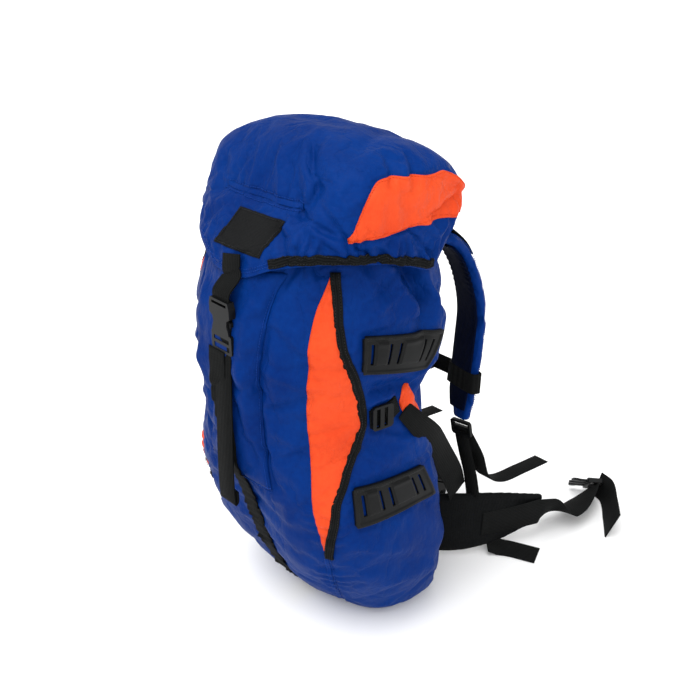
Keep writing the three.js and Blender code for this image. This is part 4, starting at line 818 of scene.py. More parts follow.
POCKET_LOW, POCKET_HIGH = POCKET[0][0] * BODY_HEIGHT, POCKET[-1][0] * BODY_HEIGHT
CRESCENT_LOW, CRESCENT_HIGH = CRESCENT[0][0] * BODY_HEIGHT, CRESCENT[-1][0] * BODY_HEIGHT
PATCHES = {
    "upper": {"front": (57.0, 56.0), "rear": (92.5, 99.5), "low": (0.721, 0.686), "high": (0.803, 0.766)},
    "lower": {"front": (54.0, 55.5), "rear": (97.5, 93.5), "low": (0.366, 0.361), "high": (0.458, 0.45)},
}
SQUEEZE = [[67.5, 0.602], [72, 0.602], [77, 0.607], [82.5, 0.62]]


def bag_held():
    """How firmly each place of the bag is held: along seams, under straps and moulded patches."""
    turn, z = wrap(bag.angle), bag.level
    share = z / BODY_HEIGHT
    seam, edge = seam_lines(share)
    held = np.maximum(step_up(-z, -0.02, -0.008), step_up(z, BODY_HEIGHT - 0.02, BODY_HEIGHT - 0.008))
    held = np.maximum(held, step_up(turn, 126, 134))
    held = np.maximum(held, 0.9 * bell((turn - seam) * RADIUS_SCALE, 0.004))
    inside = (z > CRESCENT_LOW) & (z < CRESCENT_HIGH)
    held = np.maximum(held, np.where(inside, bell((turn - edge) * RADIUS_SCALE, 0.005), 0))
    pocket = smooth_rows(POCKET, share)[0]
    near = (z > POCKET_LOW - 0.006) & (z < POCKET_HIGH)
    held = np.maximum(held, np.where(near, 0.8 * bell((turn - pocket) * RADIUS_SCALE, 0.004), 0))
    held = np.maximum(held, np.where(turn < pocket, 0.8 * bell(z - POCKET_LOW, 0.004), 0))
    held = np.maximum(held, np.where(z < POCKET_LOW, 0.5 * bell(turn, 5), 0))
    for patch in PATCHES.values():
        low, high = min(patch["low"]) - 0.006, max(patch["high"]) + 0.006
        within = (turn > min(patch["front"]) - 1) & (turn < max(patch["rear"]) + 1)
        held = np.maximum(held, np.where(within & (share > low) & (share < high), 1.0, 0))
    strap = bell((share - 0.607) * BODY_HEIGHT, 0.01)
    held = np.maximum(held, np.where((turn > 64) & (turn < 86), strap, 0))
    return held


def lid_held():
    turn, level = wrap(lid.angle), lid.level
    low, high = straight_rows(END_PANEL, turn)
    panel = (turn > END_PANEL[0][0]) & (turn < END_PANEL[-1][0])
    held = np.maximum(step_up(-level, -0.07, -0.03), step_up(level, 0.965, 0.985))
    held = np.maximum(held, np.where(panel, bell(level - low, 0.02), 0))
    held = np.maximum(held, np.where(panel, bell(level - high, 0.02), 0))
    z = lid.grid[..., 2]
    share = (z - LID_BASE) / LID_HEIGHT
    front = (turn < CREASE["half_angle"]) & (lid.grid[..., 1] < -0.06)
    held = np.maximum(held, np.where(front, 0.8 * bell(share - CREASE["height"], 0.02), 0))
    x, y = lid.grid[..., 0], lid.grid[..., 1]
    label = (np.abs(x - 0.009) < 0.04) & (y < -0.08) & (level > 0.2) & (level < 0.42)
    return np.maximum(held, np.where(label, 0.9, 0))


def crumpled(skin, depth, scale, seed, keep):
    """Soft folds and sharp creases over a skin, fading where keep is high."""
    broad = noise_field(skin.grid, scale, seed)
    sharp = 1 - 2 * np.abs(noise_field(skin.grid, scale * 0.62, seed + 7))
    lift = depth * (0.6 * broad + 0.4 * sharp) * (1 - keep)
    skin.settle(skin.grid + skin.normals * lift[..., None])


bag_keep, lid_keep = bag_held(), lid_held()
crumpled(bag, 0.0022, 0.06, 11.3, bag_keep)
crumpled(lid, 0.0026, 0.05, 4.7, lid_keep)
settle_skin(bag, bag_keep, 0.02, 0.6, 0.006)
settle_skin(lid, lid_keep, 0.03, 0.8, 0.007)


def skin_mesh(name, skin, rows, columns, low, high, closing, look):
    """Fine mesh of a skin from its seam at the back all round, with rings that close its end."""
    angle = np.linspace(180, 540, columns)
    level = np.linspace(low, high, rows)
    grid = skin.at(angle[None, :], level[:, None], 0.0)
    end = grid[closing["row"]]
    middle = end.mean(0)
    rings = [middle + (end - middle) * share for share in closing["shares"]]
    rings = np.array(rings[::-1] if closing["row"] == 0 else rings)
    if closing["row"] == 0:
        rings[..., 2] = end[:, 2].min()
        grid = np.concatenate([rings, grid])
    else:
        grid = np.concatenate([grid, rings])
    girth = np.radians(angle - 180) * 0.165
    rise = np.cumsum(np.linalg.norm(np.diff(grid[:, columns // 2], axis=0), axis=1))
    run = np.concatenate([[0], rise])
    uvs = np.stack(np.broadcast_arrays(girth[None, :], run[:, None]), -1)
    return mesh_object(name, grid, grid_faces(len(grid), columns), look, uvs)


def pack_body():
    closing = {"row": 0, "shares": (0.8, 0.55, 0.3, 0.1, 0.01)}
    body = skin_mesh("bag_cloth", bag, 190, 330, 0, BODY_HEIGHT, closing, LOOKS["blue_nylon"])
    finish_piece(solidify(body, CLOTH), "blue_nylon", "pack_body")


def front_crescent(side, hand):
    def first(level):
        return smooth_rows(CRESCENT, level / BODY_HEIGHT)[0] - 0.6

    def last(level):
        return smooth_rows(CRESCENT, level / BODY_HEIGHT)[1]

    angle, level = hand_grid(side, first, last, CRESCENT_LOW + 0.004, CRESCENT_HIGH - 0.004, 90, 14)
    laid(f"crescent_{hand}", f"crescent_front_{hand}", "orange_nylon", bag, angle, level, 0.0017, 0.0006)


def front_binding(side, hand):
    level = np.linspace(CRESCENT_LOW - 0.006, CRESCENT_HIGH, 120)
    edge = smooth_rows(CRESCENT, level / BODY_HEIGHT)[1]
    tape_on(f"binding_{hand}", f"binding_front_{hand}", bag, side * edge, level, BINDING_WIDTH,
            0.0012, 0.0024)
    lines = [skin_line(bag, side * (edge + shift), level, 0.0038) for shift in (-1.3, 1.3)]
    stitches(f"binding_stitches_{hand}", lines, THREAD)


def rear_leaf(side, hand):
    def first(level):
        return smooth_rows(LEAF, level / BODY_HEIGHT)[0]

    def last(level):
        return smooth_rows(LEAF, level / BODY_HEIGHT)[1]

    angle, level = hand_grid(side, first, last, LEAF[0][0] * BODY_HEIGHT, LEAF[-1][0] * BODY_HEIGHT, 40, 12)
    laid(f"rear_leaf_{hand}", f"crescent_rear_{hand}", "orange_nylon", bag, angle, level, 0.0017, 0.0005)


POCKET_THICK = 0.0026


def front_pocket():
    def last(level):
        return smooth_rows(POCKET, level / BODY_HEIGHT)[0]

    angle, level = hand_grid(1, lambda z: -last(z), last, POCKET_LOW, POCKET_HIGH, 90, 50)
    laid("pocket_panel", "front_pocket", "blue_nylon", bag, angle, level, POCKET_THICK, 0.0015)
    rise = np.linspace(POCKET_LOW + 0.003, POCKET_HIGH - 0.02, 60)
    lines = [skin_line(bag, side * (last(rise) - 1.3), rise, POCKET_THICK + 0.0006) for side in (1, -1)]
    across = np.linspace(-last(POCKET_LOW), last(POCKET_LOW), 40)
    for drop in (-0.004, 0.004):
        lines.append(skin_line(bag, across, POCKET_LOW + drop, POCKET_THICK + 0.0002 if drop > 0 else 0.0003))
    stitches("pocket_stitches", lines, BLUE_THREAD, slot="blue_nylon")


def seam_piping():
    """Flat-felled seams down the front of the bag below the crescents, with their stitches."""
    def seam(side, hand):
        level = np.linspace(0.02, CRESCENT_LOW, 60)
        angle = smooth_rows(CRESCENT, level / BODY_HEIGHT)[0]
        tape_on(f"side_seam_{hand}", None, bag, side * angle, level, 0.006, 0.0002, 0.001, "blue_nylon")
        lines = [skin_line(bag, side * (angle + shift), level, 0.0012) for shift in (-0.6, 1.6)]
        stitches(f"seam_stitches_{hand}", lines, BLUE_THREAD, slot="blue_nylon")
    both_sides(seam)


SLOT_SHARES = [0.1, 0.3, 0.42, 0.76, 0.87]
PATCH_BARS = [[0.13, 0.27], [0.45, 0.73]]
SLOT_LOW, SLOT_HIGH = 0.26, 0.78


def lash_patch(side, hand, kind):
    """Moulded patch: raised rim, sunk floor, five slots cut through and a raised bar between them."""
    patch = PATCHES[kind]
    columns, rows = 170, 62
    u = np.linspace(0, 1, columns)[None, :]
    v = np.linspace(0, 1, rows)[:, None]
    low = patch["low"][0] * (1 - u) + patch["low"][1] * u
    high = patch["high"][0] * (1 - u) + patch["high"][1] * u
    front = patch["front"][0] * (1 - v) + patch["front"][1] * v
    rear = patch["rear"][0] * (1 - v) + patch["rear"][1] * v
    angle = front * (1 - u) + rear * u
    level = (low * (1 - v) + high * v) * BODY_HEIGHT
    length, height = 0.13, 0.05
    edge = np.minimum(np.minimum(u, 1 - u) * length, np.minimum(v, 1 - v) * height)
    rim = 1 - step_up(edge, 0.0045, 0.0065)
    bar = np.zeros(edge.shape)
    for start, stop in PATCH_BARS:
        within = step_up(u, start, start + 0.012) * (1 - step_up(u, stop - 0.012, stop))
        bar = np.maximum(bar, within * step_up(v, SLOT_LOW - 0.03, SLOT_LOW + 0.03)
                         * (1 - step_up(v, SLOT_HIGH + 0.02, SLOT_HIGH + 0.08)))
    lip = bar * bell(v - SLOT_HIGH, 0.05)
    top = 0.0036 + 0.0016 * np.maximum(rim, bar) + 0.0008 * lip
    top = top * step_up(edge, -0.0004, 0.0012) + 0.001
    if side < 0:
        angle, level, top = -angle[:, ::-1], level[:, ::-1], top[:, ::-1]
    faces = grid_faces(rows, columns)
    middle_u = (u[0, :-1] + u[0, 1:]) / 2
    middle_v = (v[:-1, 0] + v[1:, 0]) / 2
    half = 0.0042 / length / 2
    cut = np.zeros(faces.shape[:2], bool)
    for share in SLOT_SHARES:
        inside = np.abs((middle_u if side > 0 else 1 - middle_u) - share) < half
        cut |= inside[None, :] & ((middle_v > SLOT_LOW) & (middle_v < SLOT_HIGH))[:, None]
    corner = 0.006
    du = np.maximum(0, corner - np.minimum(middle_u, 1 - middle_u) * length)
    dv = np.maximum(0, corner - np.minimum(middle_v, 1 - middle_v) * height)
    cut |= np.hypot(du[None, :], dv[:, None]) > corner
    uvs = np.stack(np.broadcast_arrays(u * length, v * height), -1)
    places = bag.at(angle, level, top)
    piece = mesh_object(f"patch_{kind}_{hand}", places, faces[~cut], LOOKS["black_rubber"], uvs)
    solidify(piece, 0.0032)
    finish_piece(piece, "black_rubber", f"lash_patch_{kind}_{hand}")
    ring = np.concatenate([np.linspace(0.03, 0.97, 60)] * 2)
    place = np.array([0.055] * 60 + [0.945] * 60)
    rows_of = (place * (rows - 1)).astype(int)
    columns_of = (ring * (columns - 1)).astype(int)
    lines = []
    for part in (slice(0, 60), slice(60, 120)):
        at = (rows_of[part], columns_of[part])
        lines.append((bag.at(angle[at], level[at], top[at] + 0.0001), bag.normal(angle[at], level[at])))
    stitches(f"patch_stitches_{kind}_{hand}", lines, THREAD, proud=0.0003, slot="black_rubber")


# The lid
def lid_cloth():
    closing = {"row": -1, "shares": (0.7, 0.35, 0.02)}
    cap = skin_mesh("lid_cloth", lid, 130, 330, 0, LID_CROWN, closing, LOOKS["blue_nylon"])
    finish_piece(solidify(cap, CLOTH), "blue_nylon", "lid")


def lid_end_panel(side, hand):
    first, last = END_PANEL[0][0], END_PANEL[-1][0]
    turn = np.linspace(first, last, 90)
    low, high = straight_rows(END_PANEL, turn)
    soften = np.ones(9) / 9
    low = np.convolve(np.pad(low, 4, mode="edge"), soften, mode="valid")
    high = np.convolve(np.pad(high, 4, mode="edge"), soften, mode="valid")
    t = np.linspace(0, 1, 36)[:, None]
    level = low[None, :] * (1 - t) + high[None, :] * t
    angle = np.repeat(turn[None, :], 36, 0) * side
    if side < 0:
        angle, level = angle[:, ::-1], level[:, ::-1]
    laid(f"end_panel_{hand}", f"lid_end_panel_{hand}", "orange_nylon", lid, angle, level, 0.0018, 0.0012)
    lines = [skin_line(lid, side * turn[3:-3], edge[3:-3], 0.0019) for edge in (low + 0.02, high - 0.018)]
    stitches(f"end_panel_stitches_{hand}", lines, LOOKS["orange_nylon"], slot="orange_nylon")


HEM_FROM = {"right": 24, "left": 58}
HEM_TO = 101


def lid_hem(side, hand):
    angle = np.linspace(HEM_FROM[hand], HEM_TO, 120) * side
    level = np.full(120, 0.05)
    tape_on(f"hem_binding_{hand}", f"lid_hem_binding_{hand}", lid, angle, level, HEM_WIDTH, 0.0004, 0.0024)
    lines = [skin_line(lid, angle, 0.05 + shift, 0.003) for shift in (-0.028, 0.028)]
    stitches(f"hem_stitches_{hand}", lines, THREAD)


def lid_seams():
    """The front seam of the lid with its zip tape, and the fold of the hem below the label."""
    angle = np.linspace(-CREASE["half_angle"] + 2, CREASE["half_angle"] - 2, 90)
    hem = hem_height(angle)
    level = (LID_BASE + CREASE["height"] * LID_HEIGHT - hem) / (LID_TOP - hem)
    tape_on("lid_zip_tape", None, lid, angle, level, 0.007, 0.0002, 0.0012, "blue_nylon")
    lines = [skin_line(lid, angle, level + shift, 0.0008) for shift in (-0.035, 0.035)]
    front = np.linspace(-33, 33, 80)
    lines += [skin_line(lid, front, shift, 0.0003) for shift in (0.035, 0.06)]
    stitches("lid_stitches", lines, BLUE_THREAD, slot="blue_nylon")


LABEL_WIDTH, LABEL_HEIGHT, LABEL_LEVEL = 0.084, 0.05, 0.176
LABEL_ASIDE, LABEL_LEAN = 0.006, 0.012


def lid_label():
    """Plain woven label with a raised border."""
    levels = np.linspace(LABEL_LEVEL, 0.7, 200)
    run = np.linalg.norm(lid.at(0, levels) - lid.at(0, LABEL_LEVEL), axis=1)
    top = np.interp(LABEL_HEIGHT, run, levels)
    level = np.linspace(LABEL_LEVEL, top, 40)
    reach = lid.at(90, level)[:, 1] - lid.at(0, level)[:, 1]
    rise = hem_height(0) + level * (LID_TOP - hem_height(0))
    across = np.linspace(-0.5, 0.5, 56)[None, :] * LABEL_WIDTH + LABEL_ASIDE
    across = across + LABEL_LEAN * np.linspace(0, 1, 40)[:, None]
    angle = np.degrees(np.arctan2(across, reach[:, None]))
    hem = hem_height(angle)
    level = (rise[:, None] - hem) / (LID_TOP - hem)
    laid("label", "label_patch", "black_webbing", lid, angle, level, 0.0018, look=LABEL_LOOK)
    lines = []
    for cut in ((slice(2, -2), 2), (slice(2, -2), -3), (2, slice(2, -2)), (-3, slice(2, -2))):
        lines.append(skin_line(lid, angle[cut], level[cut], 0.0019))
    stitches("label_stitches", lines, THREAD, dash=0.003)


# Front strap and its buckle
socket_low, socket_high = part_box("lid_buckle_socket")
BUCKLE_X = (socket_low.x + socket_high.x) / 2
BUCKLE_Y = (socket_low.y + socket_high.y) / 2
BUCKLE_TOP = socket_high.z
PLUG_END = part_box("lid_buckle_plug")[0].z
TAIL_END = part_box("front_strap_tail")[0].z


def front_strap():
    start = lid.at(np.array([1.5, 2.2, 3.2, 4]), np.array([0.15, 0.1, 0.05, 0.01]), 0.0022)
    points = [*start, (BUCKLE_X, BUCKLE_Y, BUCKLE_TOP + 0.008), (BUCKLE_X, BUCKLE_Y, BUCKLE_TOP - 0.006)]
    band("lid_webbing", "lid_strap", points, FRONT_WEB, count=40)
    drop = PLUG_END - TAIL_END
    line = [(0, 0.12), (-0.001, 0), (-0.0025, -0.1), (-0.004, -0.4), (-0.0045, -0.75), (-0.002, -0.965),
            (-0.0005, -1.0), (0.0028, -0.985), (0.0022, -0.9)]
    points = [(BUCKLE_X * (1 - 0.9 * share**2), BUCKLE_Y - 0.001 + y, PLUG_END + share * drop)
              for y, share in line]
    band("front_tail", "front_strap_tail", points, FRONT_WEB, count=90)
    level = np.linspace(0.011, PLUG_END, 110)
    lift = 0.0014 + POCKET_THICK * step_up(level, POCKET_LOW - 0.012, POCKET_LOW - 0.002)
    tape_on("front_anchor", "front_strap_anchor", bag, np.zeros(110), level, FRONT_WEB, lift, WEB_THICK)
    bars = []
    for z in (0.02, 0.03):
        across = np.linspace(-0.0135, 0.0135, 20)
        place = bag.at(0, z, 0.0034)
        places = np.stack([across, np.full(20, place[1]), np.full(20, z)], -1)
        bars.append((places, np.repeat(bag.normal(0, z)[None, :], 20, 0)))
    stitches("front_bar_tacks", bars, THREAD, pitch=0.0016, dash=0.0013)


def side_strap(side, hand):
    line = smooth_line([(angle, share * 100, 0) for angle, share in SQUEEZE], 60)
    level = line[:, 1] / 100 * BODY_HEIGHT
    angle = line[:, 0] * side
    tape_on(f"squeeze_strap_{hand}", f"side_strap_{hand}", bag, angle, level, SIDE_WEB, 0.0008, WEB_THICK)
    keep = slice(30, 56)
    tape_on(f"squeeze_end_{hand}", None, bag, angle[keep], level[keep], SIDE_WEB * 0.98, 0.0032, WEB_THICK)


# Padded pieces
def soft_copy(node, name, material, voxel=0.0045):
    """A new object with the even, smooth mesh of a CAD node's form."""
    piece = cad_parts[node].copy()
    piece.data = piece.data.copy()
    piece.name = name
    piece.parent = None
    for key in list(piece.keys()):
        del piece[key]
    bpy.context.scene.collection.objects.link(piece)
    piece.hide_render = False
    piece.hide_viewport = False
    even = piece.modifiers.new("even", "REMESH")
    even.mode = "VOXEL"
    even.voxel_size = voxel
    soften = piece.modifiers.new("soften", "SMOOTH")
    soften.iterations = 4
    soften.factor = 0.5
    result = piece.evaluated_get(bpy.context.evaluated_depsgraph_get())
    mesh = bpy.data.meshes.new_from_object(result)
    piece.modifiers.clear()
    piece.data = mesh
    mesh.name = name
    mesh.materials.clear()
    mesh.materials.append(material)
    return piece


def vertices_of(piece):
    co = np.zeros(len(piece.data.vertices) * 3)
    piece.data.vertices.foreach_get("co", co)
    return co.reshape(-1, 3)


def set_vertices(piece, co):
    piece.data.vertices.foreach_set("co", co.ravel())
    piece.data.update()


def plump(piece, pressure, cap, seams, frames=14):
    """Fills a pad by a cloth simulation, held along the seams, and keeps the result in its mesh."""
    rest = vertices_of(piece)
    group = piece.vertex_groups.new(name="held")
    for index, weight in enumerate(seams(rest).tolist()):
        if weight > 0.01:
            group.add([index], min(weight, 1.0), "REPLACE")
    modifier = cloth_settings(piece, frames, pressure, 15, 0.5)
    modifier.settings.vertex_group_mass = "held"
    modifier.settings.shrink_min = -0.02
    moved = run_cloth(piece, frames) - rest
    piece.modifiers.clear()
    reach = np.linalg.norm(moved, axis=1, keepdims=True)
    rest = rest + moved * np.minimum(1, cap / np.maximum(reach, 1e-9))
    set_vertices(piece, rest)
    return piece


def rounded(piece, levels=1):
    piece.data.polygons.foreach_set("use_smooth", np.ones(len(piece.data.polygons), bool))
    fine = piece.modifiers.new("fine", "SUBSURF")
    fine.levels = levels
    fine.render_levels = levels
    return piece


def mirrored(piece, name):
    twin = piece.copy()
    twin.data = piece.data.copy()
    twin.name = name
    twin.data.name = name
    twin.vertex_groups.clear()
    co = vertices_of(twin)
    set_vertices(twin, co * np.array([-1, 1, 1]))
    twin.data.flip_normals()
    bpy.context.scene.collection.objects.link(twin)
    return twin


def pad_pair(node, name, material, slot, pressure, cap, seams, shape=None):
    right = plump(soft_copy(f"{node}_right", f"{name}_right", material), pressure, cap, seams)
    if shape is not None:
        set_vertices(right, shape(vertices_of(right)))
    left = mirrored(right, f"{name}_left")
    for piece, hand in ((right, "right"), (left, "left")):
        rounded(piece)
        finish_piece(piece, slot, f"{node}_{hand}")


# Shoulder straps: distance from the middle plane, reach behind and height, as shares
STRAP = [
    [0.46, 0.3, 0.918], [0.475, 0.41, 0.892], [0.49, 0.49, 0.846], [0.505, 0.555, 0.779], [0.51, 0.596, 0.7],
    [0.51, 0.588, 0.622], [0.515, 0.566, 0.535], [0.52, 0.55, 0.465], [0.53, 0.54, 0.412],
]
STRAP_START = 0.912
STRAP_TURN = 17
STRAP_CHANGES = [[0, 0, 0.92], [0.2, 12, 1], [0.35, STRAP_TURN, 1], [0.72, STRAP_TURN, 0.98], [0.88, 12, 0.8],
                 [1, 6, 0.45]]
SLEEVE_PLACE = (13.9 / 18, 15.4 / 18)
LINING_PLACE = (2 / 18, 17 / 18)
LINING_THICK = 0.002


def back_place(x, z, lift):
    """Place on the back of the bag at a distance from its middle plane."""
    angle = np.linspace(100, 179, 400)
    line = bag.at(angle, z, 0)
    at = np.interp(-abs(x), -line[:, 0], angle)
    place = bag.at(at, z, lift)
    return np.array([math.copysign(place[0], x), place[1], place[2]])


def spot(side, share):
    x, y, z = share
    return np.array([side * x * PACK_WIDTH / 2, y * PACK_DEPTH, z * BODY_HEIGHT])


def strap_frame(side, count=181):
    first = back_place(side * STRAP[0][0] * PACK_WIDTH / 2, STRAP_START * BODY_HEIGHT, -0.003)
    changes = [[at, side * turn, share] for at, turn, share in STRAP_CHANGES]
    return band_frame([first, *(spot(side, row) for row in STRAP)], (1, 0, 0), changes, count)


def strap_shape(co):
    """Crease across the strap where it kinks, and puckers at the bend over its top."""
    kink = 0.003 * bell(co[:, 2] - 0.388, 0.006)
    bend = bell(co[:, 2] - 0.512, 0.022) * bell(co[:, 1] - 0.1, 0.04)
    pucker = 0.0011 * bend * np.sin((co[:, 1] + co[:, 2] * 0.4) / 0.0075 * math.tau / 2)
    out = co.copy()
    out[:, 1] += np.where(co[:, 1] < 0.14, 1, -1) * kink
    out[:, 2] += pucker
    return out


def places_on(line, step, width, co):
    """The nearest centre of a band's line to each point, and the point's share of the half width."""
    centres, across, out, shares = line
    near = np.argmin(np.linalg.norm(co[:, None] - centres[None, ::step], axis=2), axis=1) * step
    aside = np.einsum("ij,ij->i", co - centres[near], across[near])
    return near, aside / (width / 2 * shares[near])


def strap_seams(co):
    held = step_up(np.abs(places_on(strap_frame(1), 4, STRAP_WIDTH, co)[1]), 0.84, 0.95)
    return np.maximum(held, step_up(-co[:, 1], -0.075, -0.065))


def shoulder_lining(side, hand):
    centres, across, out, shares = strap_frame(side)
    first, last = (int(place * 180) for place in LINING_PLACE)
    keep = slice(first, last + 1)
    u = np.linspace(-1, 1, 25)
    shift = -(STRAP_PAD + LINING_THICK) / 2 - 0.0012
    puff = 0.0014 * (1 - np.abs(u) ** 4)[None, :, None]
    half = STRAP_WIDTH * 0.41 * shares[keep][:, None, None]
    base = centres[keep][:, None] + across[keep][:, None] * u[None, :, None] * half
    grid = base + out[keep][:, None] * (shift - puff)
    length = np.concatenate([[0], np.cumsum(np.linalg.norm(np.diff(centres[keep], axis=0), axis=1))])
    ripple = 0.0008 * np.sin(length / 0.009 * math.tau) * bell(length - 0.07, 0.04)
    grid = grid - out[keep][:, None] * ripple[:, None, None] * (np.abs(u) > 0.6)[None, :, None]
    piece = mesh_object(f"strap_lining_{hand}", grid, grid_faces(*grid.shape[:2]), LOOKS["navy_lining"])
    if side > 0:
        piece.data.flip_normals()
    solidify(piece, LINING_THICK, 0.0)
    finish_piece(piece, "navy_lining", f"shoulder_lining_{hand}")


def strap_trim(side, hand):
    """Load lifter, the sleeve round the strap and the chest strap that it carries."""
    centres, across, out, shares = strap_frame(side)
    lift = (STRAP_PAD + WEB_THICK) / 2 + 0.0016
    on_strap = [centres[int(k / 18 * 180)] + out[int(k / 18 * 180)] * lift for k in (5, 4, 3)]
    top = (0.46 * side * PACK_WIDTH / 2, 0.957 * BODY_HEIGHT)
    points = [*on_strap, back_place(top[0], top[1], 0.014), back_place(top[0], top[1] + 0.003, -0.001)]
    band(f"lifter_webbing_{hand}", f"load_lifter_{hand}", points, SHOULDER_WEB, count=40)
    keep = slice(int(SLEEVE_PLACE[0] * 180), int(SLEEVE_PLACE[1] * 180) + 1)
    half, deep = STRAP_WIDTH / 2 * 0.97 + 0.0018, (STRAP_PAD + LINING_THICK) / 2 + 0.0022
    turn = np.linspace(0, math.tau, 48, endpoint=False)
    u = np.sign(np.cos(turn)) * np.abs(np.cos(turn)) ** 0.35 * half
    v = np.sign(np.sin(turn)) * np.abs(np.sin(turn)) ** 0.45 * deep
    ring = (centres[keep][:, None] + across[keep][:, None] * u[None, :, None]
            + out[keep][:, None] * (v - 0.0016)[None, :, None])
    uvs = np.stack(np.broadcast_arrays(turn[None, :] * half, np.arange(ring.shape[0])[:, None] * 0.0016), -1)
    faces = grid_faces(*ring.shape[:2], closed=True)
    piece = mesh_object(f"sleeve_{hand}", ring, faces, LOOKS["black_webbing"], uvs)
    solidify(piece, 0.0018, 1.0)
    finish_piece(piece, "black_webbing", f"sternum_band_{hand}")
    low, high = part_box(f"sternum_strap_{hand}")
    z, y = (low.z + high.z) / 2, (low.y + high.y) / 2
    ends = (high.x, low.x) if side > 0 else (low.x, high.x)
    points = [(ends[0] + side * 0.001, y, z), (ends[0] * 0.7 + ends[1] * 0.3, y + 0.0015, z - 0.0012),
              (ends[1] - side * 0.004, y, z)]
    band(f"chest_webbing_{hand}", f"sternum_strap_{hand}", points, SIDE_WEB, (0, 0, 1), count=30)


def strap_edges(side, hand):
    """Stitches along both edges of the outer face of the shoulder strap."""
    centres, across, out, shares = strap_frame(side)
    keep = slice(12, 172)
    lines = []
    for edge in (-0.78, 0.78):
        offset = across[keep] * (edge * STRAP_WIDTH / 2 * shares[keep])[:, None]
        lines.append((centres[keep] + offset + out[keep] * (STRAP_PAD / 2 + 0.0004), out[keep]))
    stitches(f"strap_stitches_{hand}", lines, BLUE_THREAD, slot="blue_nylon")


# Lower end of the shoulder strap: webbing down to the hip wing and its free end
DOWN = [[0.537, 0.542, 0.386], [0.544, 0.545, 0.3625], [0.575, 0.562, 0.31], [0.625, 0.578, 0.25],
        [0.66, 0.588, 0.188]]
FREE_END = [
    [0.537, 0.5585, 0.386], [0.56, 0.585, 0.36], [0.6, 0.64, 0.305], [0.65, 0.68, 0.235],
    [0.68, 0.78, 0.208], [0.69, 1.0, 0.197], [0.69, 1.216, 0.188],
]


def shoulder_webbing(side, hand):
    band(f"down_webbing_{hand}", f"shoulder_webbing_{hand}", [spot(side, row) for row in DOWN], SHOULDER_WEB)
    band(f"free_end_{hand}", f"shoulder_tail_{hand}", [spot(side, row) for row in FREE_END], SHOULDER_WEB,
                 count=90)


# Hip belt
WING = [
    [0.2, 0.375, 0.108, 0.94], [0.36, 0.385, 0.108, 1.0], [0.475, 0.44, 0.108, 1.0],
    [0.57, 0.51, 0.107, 0.98],
    [0.696, 0.64, 0.105, 0.9], [0.795, 0.8, 0.102, 0.77], [0.863, 0.944, 0.098, 0.6],
    [0.913, 1.048, 0.096, 0.44],
]
WING_HEIGHT, WING_PAD = 0.104, 0.014
STABILISER = [[0.742, 0.24, 0.383], [0.64, 0.42, 0.275], [0.57, 0.51, 0.206]]
HIP_TAIL = [[0.72, 0.7, 12.5], [0.755, 0.735, 7], [0.8, 0.765, 2], [0.87, 0.8, 0.4], [1.115, 0.872, 0.2]]
BELT_RIGHT = [[0.937, 1.16, 0.064], [0.975, 1.32, 0.04], [0.932, 1.5, 0.036], [0.888, 1.64, 0.042]]
BELT_LEFT = [[0.905, 1.18, 0.055], [0.74, 1.21, 0.028], [0.53, 1.13, 0.012], [0.39, 0.99, 0.01]]
BELT_TAIL = [[1.05, 1.65, 0.044], [1.25, 1.5, 0.042], [1.42, 1.36, 0.041]]
TAIL_ACROSS = (0.3, 0.2, 0.93)
PLUG_MOUTH = [0.814, 1.628, 0.045]
PLUG_WAY = np.array([-0.735, -0.678, 0.05])
PLUG_LENGTH = 0.025
FACE = WING_PAD / 2 + WEB_THICK / 2 + 0.0024


def wing_frame(side, count=121):
    changes = [[i / (len(WING) - 1), 0, row[3]] for i, row in enumerate(WING)]
    return band_frame([spot(side, row[:3]) for row in WING], (0, 0, 1), changes, count)


def wing_seams(co):
    held = step_up(np.abs(places_on(wing_frame(1), 3, WING_HEIGHT, co)[1]), 0.84, 0.95)
    return np.maximum(held, step_up(-co[:, 0], -0.05, -0.04))


def wing_shape(co):
    """Sewn channel along the middle of the wing, under the belt webbing."""
    centres, across, out, shares = wing_frame(1)
    near, height = places_on((centres, across, out, shares), 3, WING_HEIGHT, co)
    face = np.sign(np.einsum("ij,ij->i", co - centres[near], out[near]))
    groove = 0.0022 * (bell(height - 0.62, 0.07) + bell(height + 0.62, 0.07))
    groove = groove * step_up(co[:, 0], 0.06, 0.09)
    return co - out[near] * (face * groove)[:, None]


def wing_face(side, section):
    x, reach, height, _ = WING[section]
    before = WING[section - 1]
    way = np.array([(x - before[0]) * PACK_WIDTH / 2, (reach - before[1]) * PACK_DEPTH])
    way = way / np.linalg.norm(way)
    return spot(side, (x, reach, height)) + np.array([side * way[1] * FACE, -way[0] * FACE, 0])


def hip_stabiliser(side, hand):
    over = 0.0034
    on_bag = [bag.at(side * angle, share * BODY_HEIGHT, over) for angle, share in
              ((87, 0.598), (95, 0.557), (103, 0.507))]
    points = [*on_bag, *(spot(side, row) for row in STABILISER)]
    widths = [[0, 0, 0.62], [0.3, 0, 1], [1, 0, 1]]
    band(f"stabiliser_{hand}", f"hip_stabiliser_{hand}", points, TAIL_WEB, (0, 0.75, 0.6), widths, count=70)


def hip_tail(side, hand):
    rest = WEB_THICK / 2 + 0.0006
    points = [spot(side, (x, y, 0)) + np.array([0, 0, z * MM + rest]) for x, y, z in HIP_TAIL]
    band(f"hip_end_{hand}", f"hip_tail_{hand}", points, TAIL_WEB, (-side * 0.42, 0.9, 0), count=60)


